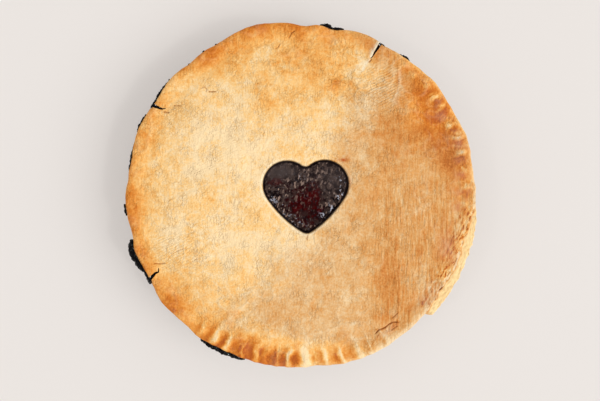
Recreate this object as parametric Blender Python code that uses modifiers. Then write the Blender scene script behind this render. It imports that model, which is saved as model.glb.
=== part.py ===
"""Blueberry pie in its own round tin, with a heart cut out of the lid and juice boiled over at the edge.

Metres, +Z up, +X to the right and +Y away as the pie is seen from above. The origin is the centre of
the tin's underside. Angles are in degrees, counter-clockwise from +X, and an inset is a distance in
from the lid's own edge.
"""

from collections import namedtuple
from math import atan, atan2, ceil, cos, degrees, exp, hypot, pi, radians, sin, sqrt

import bmesh
import bpy
from mathutils import Vector, noise

GAP = 0.0003  # left between two pieces that touch

# Tin: pressed from sheet, with a flat base, a flared wall, a flange and a rolled bead.
TIN_SHEET = 0.0008
TIN_HEIGHT = 0.0340
TIN_BASE_RADIUS = 0.092
TIN_MOUTH_RADIUS = 0.1135
TIN_RIM_RADIUS = 0.1205
TIN_BEAD_RADIUS = 0.0012
TIN_BASE_CORNER = 0.0080
TIN_MOUTH_CORNER = 0.0020
TIN_BEAD_TURNS = (90, 40, -15, -70, -125)  # where the bead's points lie round its own middle
TIN_SLOPE = (TIN_MOUTH_RADIUS - TIN_BASE_RADIUS) / (TIN_HEIGHT - TIN_SHEET)

# Bottom crust: lines the tin, lies on the flange and stands out past the lid in one pale stretch.
CRUST_THICKNESS = 0.0030
CRUST_TOP = TIN_HEIGHT + GAP + CRUST_THICKNESS
CRUST_ROUND = 0.0006
CRUST_TUCK = 0.0012  # how far its edge lies inside the lid's edge elsewhere
BAND_RADIUS = 0.1281
BAND_RAGGED = 0.0011
BAND_RISE = 0.0022
BAND_SHOULDER = 0.0022  # it rises once it stands out past the lid by more than this
BAND_FOOT_LOW, BAND_FOOT_HIGH = 2 * GAP, 5 * GAP  # from the lid's edge to the foot of that rise
BAND_RAGGED_SIZE = 0.0045
BAND_START, BAND_FULL, BAND_FADE, BAND_END = 315.5, 318.0, 350.0, 368.0

# Lid: one sheet of crust, domed over the filling, with its edge rolled down.
LID_THICKNESS = 0.0036
LID_RADIUS = 0.1248
LID_RIM_UNDER = CRUST_TOP + GAP
DOME_RADIUS = 0.112
DOME_RISE = 0.0066
DOME_POWER = 3.0
EDGE_ROLL_WIDTH = 0.0042
EDGE_ROLL_DROP = 0.0023
EDGE_UNDERCUT = 0.0015
BLISTER_HEIGHT = 0.0009
BLISTER_SIZE = 0.022

# The lid's edge is out of round: angle, spread in degrees and how far it stands out there.
Swell = namedtuple("Swell", "angle spread amount")
EDGE_SWELLS = (
    Swell(0, 5, 0.0012),
    Swell(19, 6, 0.0018),
    Swell(39, 5, 0.0013),
    Swell(53, 4, -0.0009),
    Swell(60, 3, -0.0015),
    Swell(79, 5, -0.0033),
    Swell(89, 4, -0.0028),
    Swell(106, 7, 0.0022),
    Swell(119, 3, -0.0006),
    Swell(130, 3, -0.0012),
    Swell(138, 6, 0.0008),
    Swell(147, 3, -0.0008),
    Swell(158, 6, 0.0012),
    Swell(168, 3, -0.0006),
    Swell(175, 3, -0.0009),
    Swell(181, 6, 0.0013),
    Swell(193, 3, -0.0008),
    Swell(199, 3, 0.0011),
    Swell(208, 5, -0.0008),
    Swell(218, 4, 0.0012),
    Swell(229, 4, -0.0005),
    Swell(234, 3, 0.0008),
    Swell(249, 12, -0.0009),
    Swell(270, 12, -0.0014),
    Swell(276, 4, -0.0010),
    Swell(305, 4, -0.0008),
    Swell(313, 3, -0.0009),
    Swell(326, 9, -0.0036),
    Swell(344, 9, -0.0036),
)

# Crimps: where their ridges lie in degrees, how wide and high each is, and where they lie from the edge.
Crimp = namedtuple("Crimp", "ridges width height inset reach")
PINCH_FIRST, PINCH_PITCH, PINCH_COUNT = -2.8, 5.5, 11
PINCHES = tuple(PINCH_FIRST + PINCH_PITCH * i for i in range(PINCH_COUNT))
FOLDS = (233.5, 239.0, 243.8, 249.5, 254.6, 258.0, 261.8, 266.1, 271.6, 279.0, 284.6, 290.2)
CRIMPS = (
    Crimp(PINCHES, 1.3, 0.0011, 0.0085, 0.0036),  # pinch marks inside the edge
    Crimp(FOLDS, 1.3, 0.0013, 0.0050, 0.0070),  # folds that run to the edge
)
EDGE_SCALLOP = 0.0004

# Heart: two round lobes, two slightly bulging sides, a round tip below and a round cleft above.
HEART_WIDTH = 0.0617
HEART_HEIGHT = 0.0524
HEART_LOBE_RADIUS = 0.0175
HEART_SIDE_RADIUS = 0.080
HEART_TIP_RADIUS = 0.0070
HEART_CLEFT_RADIUS = 0.0045
HEART_TOP = Vector((0.0038, 0.0253, 0.0))  # midway between the tops of the lobes
HEART_MIDDLE = 0.020  # from the top down to the point that the outline is seen from
HEART_LEAN = 1.2
HEART_SOFT_EDGE = 0.0008

# Filling: fills the crust under the lid, and lies a little lower and lumpy in the heart.
FILLING_SINK = 0.0012
FILLING_LUMP = 0.0010
FILLING_LUMP_SIZE = 0.0085
FILLING_OPEN_RADIUS = 0.020  # it lies low and lumpy up to this distance from the heart's middle
FILLING_FADE = 0.020  # and flat against the lid from this much further out

# Slits: each runs in from the lid's edge through the points (radius, angle) and narrows to its end.
Slit = namedtuple("Slit", "width course")
SLITS = {
    "upper_left": Slit(0.0016, ((0.1237, 148.8), (0.1165, 148.1))),
    "lower_left": Slit(0.0020, ((0.1235, 209.7), (0.1184, 208.1), (0.1154, 208.4), (0.1144, 207.1))),
    "upper_right": Slit(0.0016, ((0.1212, 61.9), (0.1150, 62.1), (0.1099, 62.6))),
}
SLIT_OVERRUN = 0.004  # how far its cutter runs out past the lid's edge
SLIT_BELOW, SLIT_ABOVE = LID_THICKNESS, 3 * LID_THICKNESS  # how far its cutter reaches past the lid
TONGUE_OVERRUN = 0.0014  # how far the juice in it runs out past the lid's edge
SLIT_END_WIDTH = 0.25  # of the slit's own width

# Boiled-over juice that clings along the edge: (angle, how far it stands out), then how far it reaches
# below and above the bottom crust's top, and the slit that it also fills.
Spill = namedtuple("Spill", "reach below above slit")
SPILLS = {
    "juice_left": Spill(
        (
            (194.7, 0.0024),
            (196.2, 0.0043),
            (198.5, 0.0047),
            (201.0, 0.0043),
            (203.5, 0.0039),
            (205.2, 0.0026),
            (206.4, 0.0014),
            (208.4, 0.0021),
            (210.3, 0.0017),
        ),
        0.0065,
        0.0032,
        "lower_left",
    ),
    "juice_lower_left": Spill(
        (
            (235.2, 0.0014),
            (237.4, 0.0027),
            (240.5, 0.0028),
            (243.0, 0.0030),
            (246.0, 0.0027),
            (248.0, 0.0022),
            (249.6, 0.0018),
            (251.2, 0.0009),
        ),
        0.0043,
        0.0029,
        None,
    ),
    "juice_top": Spill(
        (
            (75.4, 0.0009),
            (77.3, 0.0022),
            (79.0, 0.0015),
            (81.0, 0.0035),
            (82.3, 0.0021),
            (83.5, 0.0008),
        ),
        0.0030,
        0.0031,
        None,
    ),
    "juice_top_right": Spill(
        ((59.9, 0.0008), (61.4, 0.0012), (62.9, 0.0008)), 0.0020, 0.0029, "upper_right"
    ),
    "juice_upper_left": Spill(
        ((138.5, 0.0008), (143.5, 0.0012), (149.6, 0.0012)), 0.0020, 0.0029, "upper_left"
    ),
    "juice_upper_right": Spill(
        ((51.0, 0.0009), (53.0, 0.0015), (54.9, 0.0009)), 0.0020, 0.0029, None
    ),
    "juice_left_top": Spill(
        ((152.4, 0.0010), (155.5, 0.0013), (158.8, 0.0009)), 0.0020, 0.0027, None
    ),
    "juice_left_side": Spill(
        ((163.0, 0.0008), (168.5, 0.0013), (172.8, 0.0008)), 0.0020, 0.0027, None
    ),
    "juice_left_spot": Spill(
        ((183.0, 0.0009), (184.7, 0.0014), (186.6, 0.0009)), 0.0020, 0.0025, None
    ),
}
SPILL_GAP = 0.0004
SPILL_STEP = 1.3
SPILL_SIDES = 6
SPILL_LUMP = 0.30
SPILL_LUMP_SIZE = 0.0035
SPILL_END_HEIGHT = 0.45  # of its full height

# How closely the surfaces are drawn: angular steps in degrees, and where the rings of points lie.
COARSE_STEP = 5.0
FINE_STEP = 2.5
BAND_STEP = 1.5
CRIMP_STEP = 1.2
CRIMP_MARGIN = 3.0  # how far past its outer ridges a crimp's own steps reach
CORNER_STEPS = 2  # to each round corner of the bowl
BAND_LEAD = 2.0  # how far before the band its own steps begin
TIP_STEPS, SIDE_STEPS, LOBE_STEPS, CLEFT_STEPS = 3, 5, 15, 2  # along half of the heart's outline
LID_RINGS = (0.045, 0.059, 0.075, 0.091, 0.104)  # radii on the upper side
LID_RIM_INSETS = (0.0120, 0.0085, 0.0062)
LID_ROLL_TURNS = (0, 30, 58, 90)  # round the rolled edge, from its top to its widest
LID_UNDER_RINGS = (0.112, 0.098, 0.082, 0.066, 0.048)
FILLING_RINGS = (0.052, 0.066, 0.082, 0.098)
HEART_RINGS = 9
HEART_RING_STEP = 0.0042
SHARP_ANGLE = 40.0  # an edge with more than this between its faces stays sharp
MERGE_DISTANCE = 0.00001

# Colours as linear red, green and blue, then roughness and metallic.
GOLDEN_CRUST = ((0.84, 0.52, 0.24), 0.55, 0.0)
PALE_CRUST = ((0.88, 0.64, 0.36), 0.65, 0.0)
DARK_FILLING = ((0.030, 0.006, 0.009), 0.15, 0.0)
DARK_JUICE = ((0.020, 0.008, 0.012), 0.20, 0.0)
TIN_METAL = ((0.50, 0.50, 0.51), 0.35, 1.0)


# Small helpers


def unit(angle):
    """Level direction at an angle in degrees."""
    return Vector((cos(radians(angle)), sin(radians(angle)), 0.0))


def bearing(point):
    """Angle of a point about the centre, from 0 to 360 degrees."""
    return degrees(atan2(point.y, point.x)) % 360


def between(angle, other):
    """Signed turn in degrees from one angle to another, the short way round."""
    return (angle - other + 180) % 360 - 180


def bell(x):
    return exp(-x * x)


def smooth_step(x):
    """0 below 0, 1 above 1, and an even curve between."""
    x = min(max(x, 0.0), 1.0)
    return x * x * (3 - 2 * x)


def spread_angles(step, *sectors):
    """Angles round the circle: each sector (start, end, step) has its own step, the rest the first one."""
    angles = []
    angle = 0.0
    while angle < 360:
        angles.append(angle)
        inside = [own for start, end, own in sectors if 0 <= (angle - start) % 360 < end - start]
        angle += min(inside, default=step)
    return angles


# The surfaces


def wall_radius(height, depth):
    """Radius of the wall at a height, at a depth in from the tin's inside."""
    return TIN_BASE_RADIUS + (height - TIN_SHEET) * TIN_SLOPE - depth * hypot(1, TIN_SLOPE)


def bowl_section(depth):
    """Points (radius, height) along the tin's inside at a depth in from it: base corner, wall, mouth."""
    flare = atan(TIN_SLOPE)
    inner_corner = TIN_BASE_CORNER - TIN_SHEET / 2
    base_height = TIN_SHEET + inner_corner
    base_radius = wall_radius(base_height, inner_corner)
    mouth_height = TIN_HEIGHT - TIN_MOUTH_CORNER
    mouth_radius = wall_radius(mouth_height, -TIN_MOUTH_CORNER)
    points = []
    for i in range(CORNER_STEPS + 1):
        turn = (pi / 2 - flare) * i / CORNER_STEPS
        reach = inner_corner - depth
        points.append((base_radius + reach * sin(turn), base_height - reach * cos(turn)))
    for i in range(CORNER_STEPS + 1):
        turn = flare + (pi / 2 - flare) * i / CORNER_STEPS
        reach = TIN_MOUTH_CORNER + depth
        points.append((mouth_radius - reach * cos(turn), mouth_height + reach * sin(turn)))
    return points


def ridge_share(crimp, angle):
    """1 on a crimp's ridges and 0 between them."""
    return sum(bell(between(angle, ridge) / crimp.width) for ridge in crimp.ridges)


def lid_edge(angle):
    """Radius of the lid's edge at an angle."""
    radius = LID_RADIUS
    for swell in EDGE_SWELLS:
        radius += swell.amount * bell(between(angle, swell.angle) / swell.spread)
    return radius + EDGE_SCALLOP * sum(ridge_share(crimp, angle) for crimp in CRIMPS)


def band_share(angle):
    """1 where the bottom crust stands out past the lid, 0 where it is tucked under."""
    along = (angle - BAND_START) % 360
    rise = smooth_step(along / (BAND_FULL - BAND_START))
    return rise * smooth_step((BAND_END - BAND_START - along) / (BAND_END - BAND_FADE))


def crust_edge(angle):
    """Radius of the bottom crust's edge at an angle."""
    ragged = BAND_RAGGED * noise.noise(unit(angle) * BAND_RADIUS / BAND_RAGGED_SIZE)
    tucked = lid_edge(angle) - CRUST_TUCK
    return tucked + band_share(angle) * (BAND_RADIUS + ragged - tucked)


def lid_under(point):
    """Height of the lid's underside over a point."""
    share = min(point.xy.length / DOME_RADIUS, 1.0)
    return LID_RIM_UNDER + DOME_RISE * (1 - share**DOME_POWER)


def lid_top(point):
    """Height of the lid's upper side over a point, without its rolled edge."""
    angle = bearing(point)
    inset = lid_edge(angle) - point.xy.length
    blister = BLISTER_HEIGHT * noise.noise(point.xy.to_3d() / BLISTER_SIZE)
    height = lid_under(point) + LID_THICKNESS + blister * smooth_step(inset / BLISTER_SIZE)
    for crimp in CRIMPS:
        height += crimp.height * ridge_share(crimp, angle) * bell((inset - crimp.inset) / crimp.reach)
    return height


def heart_centre():
    return HEART_TOP - Vector((0.0, HEART_MIDDLE, 0.0))


def filling_top(point):
    """Height of the filling's upper side: against the lid, and sunk and lumpy in the heart."""
    away = (point.xy - heart_centre().xy).length - FILLING_OPEN_RADIUS
    open_share = 1 - smooth_step(away / FILLING_FADE)
    lump = noise.noise(point.xy.to_3d() / FILLING_LUMP_SIZE)
    return lid_under(point) - GAP - open_share * (FILLING_SINK - FILLING_LUMP * lump)


def arc(centre, radius, start, end, steps):
    """Points along an arc between two angles in degrees, without its last point."""
    turns = (start + (end - start) * i / steps for i in range(steps))
    return [centre + unit(turn) * radius for turn in turns]


def heart_side_centre(lobe, tip):
    """Centre of the bulging side, whose arc touches the round lobe and the round tip from outside."""
    axis = lobe - tip
    from_tip = HEART_SIDE_RADIUS - HEART_TIP_RADIUS
    from_lobe = HEART_SIDE_RADIUS - HEART_LOBE_RADIUS
    along = (from_tip**2 - from_lobe**2 + axis.length_squared) / (2 * axis.length)
    ahead = axis.normalized()
    leftward = Vector((-ahead.y, ahead.x, 0.0))
    return tip + ahead * along + leftward * sqrt(from_tip**2 - along**2)


def heart_outline(outset):
    """Points of the heart's outline, moved out by a distance, counter-clockwise."""
    lobe = Vector((HEART_WIDTH / 2 - HEART_LOBE_RADIUS, -HEART_LOBE_RADIUS, 0.0))
    tip = Vector((0.0, HEART_TIP_RADIUS - HEART_HEIGHT, 0.0))
    cleft_rise = sqrt((HEART_LOBE_RADIUS + HEART_CLEFT_RADIUS) ** 2 - lobe.x**2)
    cleft = Vector((0.0, lobe.y + cleft_rise, 0.0))
    side = heart_side_centre(lobe, tip)
    side_low = between(bearing(tip - side), 0.0)
    side_high = between(bearing(lobe - side), 0.0)
    notch = bearing(cleft - lobe)
    half = arc(tip, HEART_TIP_RADIUS + outset, -90, side_low, TIP_STEPS)
    half += arc(side, HEART_SIDE_RADIUS + outset, side_low, side_high, SIDE_STEPS)
    half += arc(lobe, HEART_LOBE_RADIUS + outset, side_high, notch, LOBE_STEPS)
    half += arc(cleft, HEART_CLEFT_RADIUS - outset, notch - 180, -90, CLEFT_STEPS)
    half.append(cleft + unit(-90) * (HEART_CLEFT_RADIUS - outset))
    between_ends = half[1:-1]  # the tip and the cleft lie on the mirror line
    mirrored = [Vector((-p.x, p.y, 0.0)) for p in reversed(between_ends)]
    middle = Vector((0.0, -HEART_MIDDLE, 0.0))
    lean_cos, lean_sin = unit(HEART_LEAN).xy
    outline = []
    for p in half + mirrored:
        q = p - middle
        turned = Vector((q.x * lean_cos - q.y * lean_sin, q.x * lean_sin + q.y * lean_cos, 0.0))
        outline.append(heart_centre() + turned)
    return outline


# Mesh building


def add_ring(bm, points, centre=None):
    """Adds a closed ring of vertices and returns them in order with their angles about the centre."""
    centre = centre or Vector()
    keyed = sorted(((bearing(p - centre), p) for p in points), key=lambda pair: pair[0])
    return [(angle, bm.verts.new(p)) for angle, p in keyed]


def stitch(bm, first, second):
    """Joins two closed rings, which may differ in their number of vertices, with triangles."""
    i = j = 0
    while i < len(first) or j < len(second):
        a, b = first[i % len(first)][1], second[j % len(second)][1]
        next_i, next_j = (i + 1) % len(first), (j + 1) % len(second)
        ahead_i = first[next_i][0] + 360 * ((i + 1) // len(first))
        ahead_j = second[next_j][0] + 360 * ((j + 1) // len(second))
        if j == len(second) or (i < len(first) and ahead_i <= ahead_j):
            bm.faces.new((a, first[next_i][1], b))
            i += 1
        else:
            bm.faces.new((a, second[next_j][1], b))
            j += 1


def lift(flat, height):
    return Vector((flat.x, flat.y, height))


def finish_mesh(bm, name, collection):
    """Turns a closed mesh outwards and makes it an object in the collection."""
    bmesh.ops.recalc_face_normals(bm, faces=bm.faces)
    mesh = bpy.data.meshes.new(name)
    bm.to_mesh(mesh)
    bm.free()
    obj = bpy.data.objects.new(name, mesh)
    collection.objects.link(obj)
    return obj


def dress(obj, material, parent):
    """Gives a piece its material, smooth shading and parent."""
    obj.data.materials.append(material)
    obj.data.shade_smooth()
    obj.data.set_sharp_from_angle(angle=radians(SHARP_ANGLE))
    obj.parent = parent
    return obj


def make_material(name, look):
    colour, roughness, metallic = look
    material = bpy.data.materials.new(name)
    material.use_nodes = True
    shader = material.node_tree.nodes["Principled BSDF"]
    shader.inputs["Base Color"].default_value = (*colour, 1.0)
    shader.inputs["Roughness"].default_value = roughness
    shader.inputs["Metallic"].default_value = metallic
    return material


# The pieces


def make_tin(collection):
    """The tin: its middle surface turned round the axis and given the sheet's thickness."""
    profile = [(0.0, TIN_SHEET / 2)] + bowl_section(-TIN_SHEET / 2)
    bead_radius = TIN_RIM_RADIUS - TIN_BEAD_RADIUS - TIN_SHEET / 2
    bead_height = TIN_HEIGHT - TIN_SHEET / 2 - TIN_BEAD_RADIUS
    for turn in TIN_BEAD_TURNS:
        out, up = (unit(turn) * TIN_BEAD_RADIUS).xy
        profile.append((bead_radius + out, bead_height + up))
    mesh = bpy.data.meshes.new("tin")
    points = [(radius, 0.0, height) for radius, height in reversed(profile)]
    mesh.from_pydata(points, [(i, i + 1) for i in range(len(points) - 1)], [])
    tin = bpy.data.objects.new("tin", mesh)
    collection.objects.link(tin)
    turned = tin.modifiers.new("turned", "SCREW")
    turned.steps = turned.render_steps = round(360 / COARSE_STEP)
    turned.use_merge_vertices = True
    turned.merge_threshold = MERGE_DISTANCE
    sheet = tin.modifiers.new("sheet", "SOLIDIFY")
    sheet.thickness = TIN_SHEET
    sheet.offset = 0.0
    return tin


def make_bottom_crust(collection):
    """The bottom crust: a bowl of even thickness with a flat rim and a ragged pale stretch."""
    bm = bmesh.new()
    coarse = spread_angles(COARSE_STEP)
    fine = spread_angles(COARSE_STEP, (BAND_START - BAND_LEAD, BAND_END, BAND_STEP))
    inner = bowl_section(GAP + CRUST_THICKNESS)
    outer = bowl_section(GAP)
    rings = [add_ring(bm, [lift(unit(a) * r, z) for a in coarse]) for r, z in inner]
    rim = []
    for a in fine:
        edge, lid = crust_edge(a), lid_edge(a)
        raised = CRUST_TOP + BAND_RISE * smooth_step((edge - lid - BAND_SHOULDER) / BAND_SHOULDER)
        column = (
            (min(lid + BAND_FOOT_LOW, edge - BAND_SHOULDER), CRUST_TOP),
            (min(lid + BAND_FOOT_HIGH, edge - BAND_SHOULDER / 2), raised),
            (edge - CRUST_ROUND, raised - CRUST_ROUND),
            (edge, CRUST_TOP - CRUST_THICKNESS / 2),
            (edge - CRUST_ROUND, CRUST_TOP - CRUST_THICKNESS),
        )
        rim.append([lift(unit(a) * r, z) for r, z in column])
    rings += [add_ring(bm, points) for points in zip(*rim)]
    rings += [add_ring(bm, [lift(unit(a) * r, z) for a in coarse]) for r, z in reversed(outer)]
    for first, second in zip(rings, rings[1:]):
        stitch(bm, first, second)
    for ring in (rings[0], rings[-1]):
        bm.faces.new([vert for _, vert in ring])
    return finish_mesh(bm, "bottom_crust", collection)


def make_filling(collection):
    """The filling: one solid from the bottom crust up to the lid, lumpy where the heart shows it."""
    bm = bmesh.new()
    angles = spread_angles(COARSE_STEP)
    sparse = spread_angles(2 * COARSE_STEP)
    *section, _ = bowl_section(GAP + CRUST_THICKNESS + GAP)  # the mouth's last point is the lid's
    centre = heart_centre()
    rings = []
    for i in range(HEART_RINGS):
        points = [centre + unit(a) * HEART_RING_STEP * (i + 1) for a in sparse]
        rings.append(add_ring(bm, [lift(p, filling_top(p)) for p in points], centre))
    for radius in FILLING_RINGS:
        points = [unit(a) * radius for a in angles]
        rings.append(add_ring(bm, [lift(p, filling_top(p)) for p in points]))
    for radius, height in reversed(section):
        points = [unit(a) * radius for a in angles]
        rings.append(add_ring(bm, [lift(p, min(height, filling_top(p))) for p in points]))
    for first, second in zip(rings, rings[1:]):
        stitch(bm, first, second)
    for ring in (rings[0], rings[-1]):
        bm.faces.new([vert for _, vert in ring])
    return finish_mesh(bm, "filling", collection)


def rim_angles():
    """Angles round the lid's edge, closer where it's crimped."""
    sectors = ((c.ridges[0] - CRIMP_MARGIN, c.ridges[-1] + CRIMP_MARGIN, CRIMP_STEP) for c in CRIMPS)
    return spread_angles(FINE_STEP, *sectors)


def make_lid(collection):
    """The lid: rings from the heart over the top, round the rolled edge and back underneath."""
    bm = bmesh.new()
    coarse = spread_angles(COARSE_STEP)
    fine = rim_angles()
    centre = heart_centre()

    def heart_ring(outset, height_of):
        points = [lift(p, height_of(p)) for p in heart_outline(outset)]
        return add_ring(bm, points, centre)

    rings = [heart_ring(HEART_SOFT_EDGE, lid_top)]
    for radius in LID_RINGS:
        points = [unit(a) * radius for a in coarse]
        rings.append(add_ring(bm, [lift(p, lid_top(p)) for p in points]))
    for inset in LID_RIM_INSETS:
        points = [unit(a) * (lid_edge(a) - inset) for a in fine]
        rings.append(add_ring(bm, [lift(p, lid_top(p)) for p in points]))
    for turn in LID_ROLL_TURNS:
        inset = EDGE_ROLL_WIDTH * (1 - sin(radians(turn)))
        drop = EDGE_ROLL_DROP * (1 - cos(radians(turn)))
        points = [unit(a) * (lid_edge(a) - inset) for a in fine]
        rings.append(add_ring(bm, [lift(p, lid_top(p) - drop) for p in points]))
    points = [unit(a) * (lid_edge(a) - EDGE_UNDERCUT) for a in spread_angles(FINE_STEP)]
    rings.append(add_ring(bm, [lift(p, LID_RIM_UNDER) for p in points]))
    for radius in LID_UNDER_RINGS:
        points = [unit(a) * radius for a in coarse]
        rings.append(add_ring(bm, [lift(p, lid_under(p)) for p in points]))
    rings.append(heart_ring(0.0, lid_under))
    rings.append(heart_ring(0.0, lambda p: lid_top(p) - HEART_SOFT_EDGE))
    for first, second in zip(rings, rings[1:] + rings[:1]):
        stitch(bm, first, second)
    return finish_mesh(bm, "top_crust", collection)


def blade(name, slit, spare, overrun, heights, collection):
    """A thin upright wall along a slit's course, narrower than the slit by twice the spare width."""
    low, high = heights
    course = [unit(angle) * radius for radius, angle in slit.course]
    mouth_angle = slit.course[0][1]
    course.insert(0, unit(mouth_angle) * (lid_edge(mouth_angle) + overrun))
    last = (course[-1] - course[-2]).normalized()
    course[-1] = course[-1] - last * 2 * spare
    left, right = [], []
    for i, point in enumerate(course):
        along = (course[min(i + 1, len(course) - 1)] - course[max(i - 1, 0)]).normalized()
        taper = 1 - (1 - SLIT_END_WIDTH) * max(0, i - 1) / (len(course) - 2)
        half = max(slit.width * taper / 2 - spare, SLIT_END_WIDTH * slit.width / 2)
        across = Vector((-along.y, along.x, 0.0)) * half
        left.append(point + across)
        right.append(point - across)
    bm = bmesh.new()
    outline = [bm.verts.new(lift(p, low)) for p in left + right[::-1]]
    face = bm.faces.new(outline)
    top = bmesh.ops.extrude_face_region(bm, geom=[face])["geom"]
    raised = [item for item in top if isinstance(item, bmesh.types.BMVert)]
    bmesh.ops.translate(bm, verts=raised, vec=(0.0, 0.0, high - low))
    return finish_mesh(bm, name, collection)


def add_boolean(obj, other, operation):
    """Joins or cuts an object with a helper that isn't itself part of the pie."""
    other.hide_render = True
    other.display_type = "WIRE"
    boolean = obj.modifiers.new(other.name, "BOOLEAN")
    boolean.object = other
    boolean.operation = operation
    boolean.solver = "EXACT"


def reach_at(spill, angle):
    """How far a spill stands out at an angle, read between its own points."""
    for (start, low), (end, high) in zip(spill.reach, spill.reach[1:]):
        if angle <= end:
            return low + (high - low) * smooth_step((angle - start) / (end - start))
    return spill.reach[-1][1]


def make_spill(name, spill, collection):
    """Juice that clings to the outside of the rim: a lumpy half-round bead along the edge."""
    bm = bmesh.new()
    start, end = spill.reach[0][0], spill.reach[-1][0]
    count = ceil((end - start) / SPILL_STEP)
    middle = CRUST_TOP + (spill.above - spill.below) / 2
    columns = []
    for i in range(count + 1):
        angle = start + (end - start) * i / count
        share = SPILL_END_HEIGHT + (1 - SPILL_END_HEIGHT) * sin(pi * i / count)
        half = share * (spill.above + spill.below) / 2
        inner = max(lid_edge(angle), crust_edge(angle)) + SPILL_GAP
        column = []
        for j in range(SPILL_SIDES + 1):
            turn = pi / 2 - pi * j / SPILL_SIDES
            place = lift(unit(angle) * inner, middle + half * sin(turn))
            lump = 1 + SPILL_LUMP * noise.noise(place / SPILL_LUMP_SIZE)
            out = reach_at(spill, angle) * cos(turn) * lump
            column.append(bm.verts.new(place + unit(angle) * out))
        columns.append(column)
    for first, second in zip(columns, columns[1:]):
        for j in range(SPILL_SIDES + 1):
            k = (j + 1) % (SPILL_SIDES + 1)
            bm.faces.new((first[j], first[k], second[k], second[j]))
    for column in (columns[0], columns[-1]):
        bm.faces.new(column)
    return finish_mesh(bm, name, collection)


def clear_scene():
    for obj in list(bpy.data.objects):
        bpy.data.objects.remove(obj, do_unlink=True)


def new_collection(name):
    collection = bpy.data.collections.new(name)
    bpy.context.scene.collection.children.link(collection)
    return collection


def build_pie():
    """Builds every piece of the pie and its tin."""
    clear_scene()
    pie = new_collection("blueberry_pie")
    cutters = new_collection("cutters")
    stand = bpy.data.objects.new("pie_stand", None)
    pie.objects.link(stand)

    dress(make_tin(pie), make_material("tin_metal", TIN_METAL), stand)
    dress(make_bottom_crust(pie), make_material("pale_crust", PALE_CRUST), stand)
    dress(make_filling(pie), make_material("dark_filling", DARK_FILLING), stand)

    lid = dress(make_lid(pie), make_material("golden_crust", GOLDEN_CRUST), stand)
    for place, slit in SLITS.items():
        heights = LID_RIM_UNDER - SLIT_BELOW, LID_RIM_UNDER + SLIT_ABOVE
        cutter = blade(f"slit_{place}", slit, 0.0, SLIT_OVERRUN, heights, cutters)
        add_boolean(lid, cutter, "DIFFERENCE")

    juice = make_material("dark_juice", DARK_JUICE)
    for name, spill in SPILLS.items():
        obj = dress(make_spill(name, spill, pie), juice, stand)
        if spill.slit:
            slit, heights = SLITS[spill.slit], (LID_RIM_UNDER, CRUST_TOP + spill.above - GAP)
            tongue = blade(f"tongue_{spill.slit}", slit, GAP, TONGUE_OVERRUN, heights, cutters)
            add_boolean(obj, tongue, "UNION")


build_pie()
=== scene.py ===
"""Looks of a blueberry pie in its round tin: fine shapes, baked finishes, a studio and a camera above.

Metres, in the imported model's own frame: +Z up, +X to the right and +Y away as the pie is seen from above,
with the origin at the centre of the tin's underside. Angles are in degrees, counter-clockwise from +X, and
an inset is a distance in from the lid's own edge.
"""

import logging
from collections.abc import Callable, Iterable, Sequence
from dataclasses import dataclass
from enum import Enum
from math import atan, cos, hypot, pi, radians, sin, sqrt
from typing import TypeVar
import bmesh
import bpy
import numpy as np
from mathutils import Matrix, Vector, noise


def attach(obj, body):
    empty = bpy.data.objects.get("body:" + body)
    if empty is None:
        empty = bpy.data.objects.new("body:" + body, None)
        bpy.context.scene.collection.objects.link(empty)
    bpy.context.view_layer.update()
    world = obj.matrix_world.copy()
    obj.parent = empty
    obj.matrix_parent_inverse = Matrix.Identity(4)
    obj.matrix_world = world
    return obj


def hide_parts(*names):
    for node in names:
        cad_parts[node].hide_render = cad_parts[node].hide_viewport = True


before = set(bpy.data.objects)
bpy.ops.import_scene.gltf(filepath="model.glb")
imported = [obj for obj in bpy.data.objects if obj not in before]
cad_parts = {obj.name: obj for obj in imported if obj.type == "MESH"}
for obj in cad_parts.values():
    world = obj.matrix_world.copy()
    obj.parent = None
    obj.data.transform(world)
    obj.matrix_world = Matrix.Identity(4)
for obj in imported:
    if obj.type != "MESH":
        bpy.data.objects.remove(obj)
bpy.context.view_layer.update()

log = logging.getLogger("blueberry_pie")
Array = np.ndarray
Piece = bpy.types.Object
Finish = bpy.types.Material
Pair = tuple[float, float]
Triple = tuple[float, float, float]  # numbers along x, y and z
Colour = tuple[float, float, float]
Stops = tuple[tuple[float, Colour], ...]
Kind = TypeVar("Kind")
GAP = 0.0003  # left between two pieces that touch
CHUNK = 20000  # points measured at a time, to save memory


def table(kind: Callable[..., Kind], *rows: tuple) -> tuple[Kind, ...]:
    """Makes one thing of a kind from each row of its values."""
    return tuple(kind(*row) for row in rows)


class Slot(Enum):
    """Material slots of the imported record."""

    TIN = "tin"
    PALE_CRUST = "pale_crust"
    GOLDEN_CRUST = "golden_crust"
    FILLING = "filling"
    JUICE = "juice"


# Numbers and points


def bell(x: Array | float) -> Array | float:
    """Height of a bell curve, 1 at its middle."""
    return np.exp(-np.square(x))


def smooth_step(x: Array | float) -> Array | float:
    """0 below 0, 1 above 1, and an even curve between."""
    x = np.clip(x, 0.0, 1.0)
    return x * x * (3 - 2 * x)


def bearing(points: Array) -> Array:
    """Angles of points about the centre, from 0 to 360 degrees."""
    return np.degrees(np.arctan2(points[:, 1], points[:, 0])) % 360


def turn_from(angles: Array | float, other: float) -> Array | float:
    """Signed turn from one angle to others, the short way round."""
    return (angles - other + 180) % 360 - 180


def unit(angles: Array | float) -> Array:
    """Level directions (x, y) at angles in degrees."""
    turns = np.radians(angles)
    return np.stack([np.cos(turns), np.sin(turns)], axis=-1)


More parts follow.
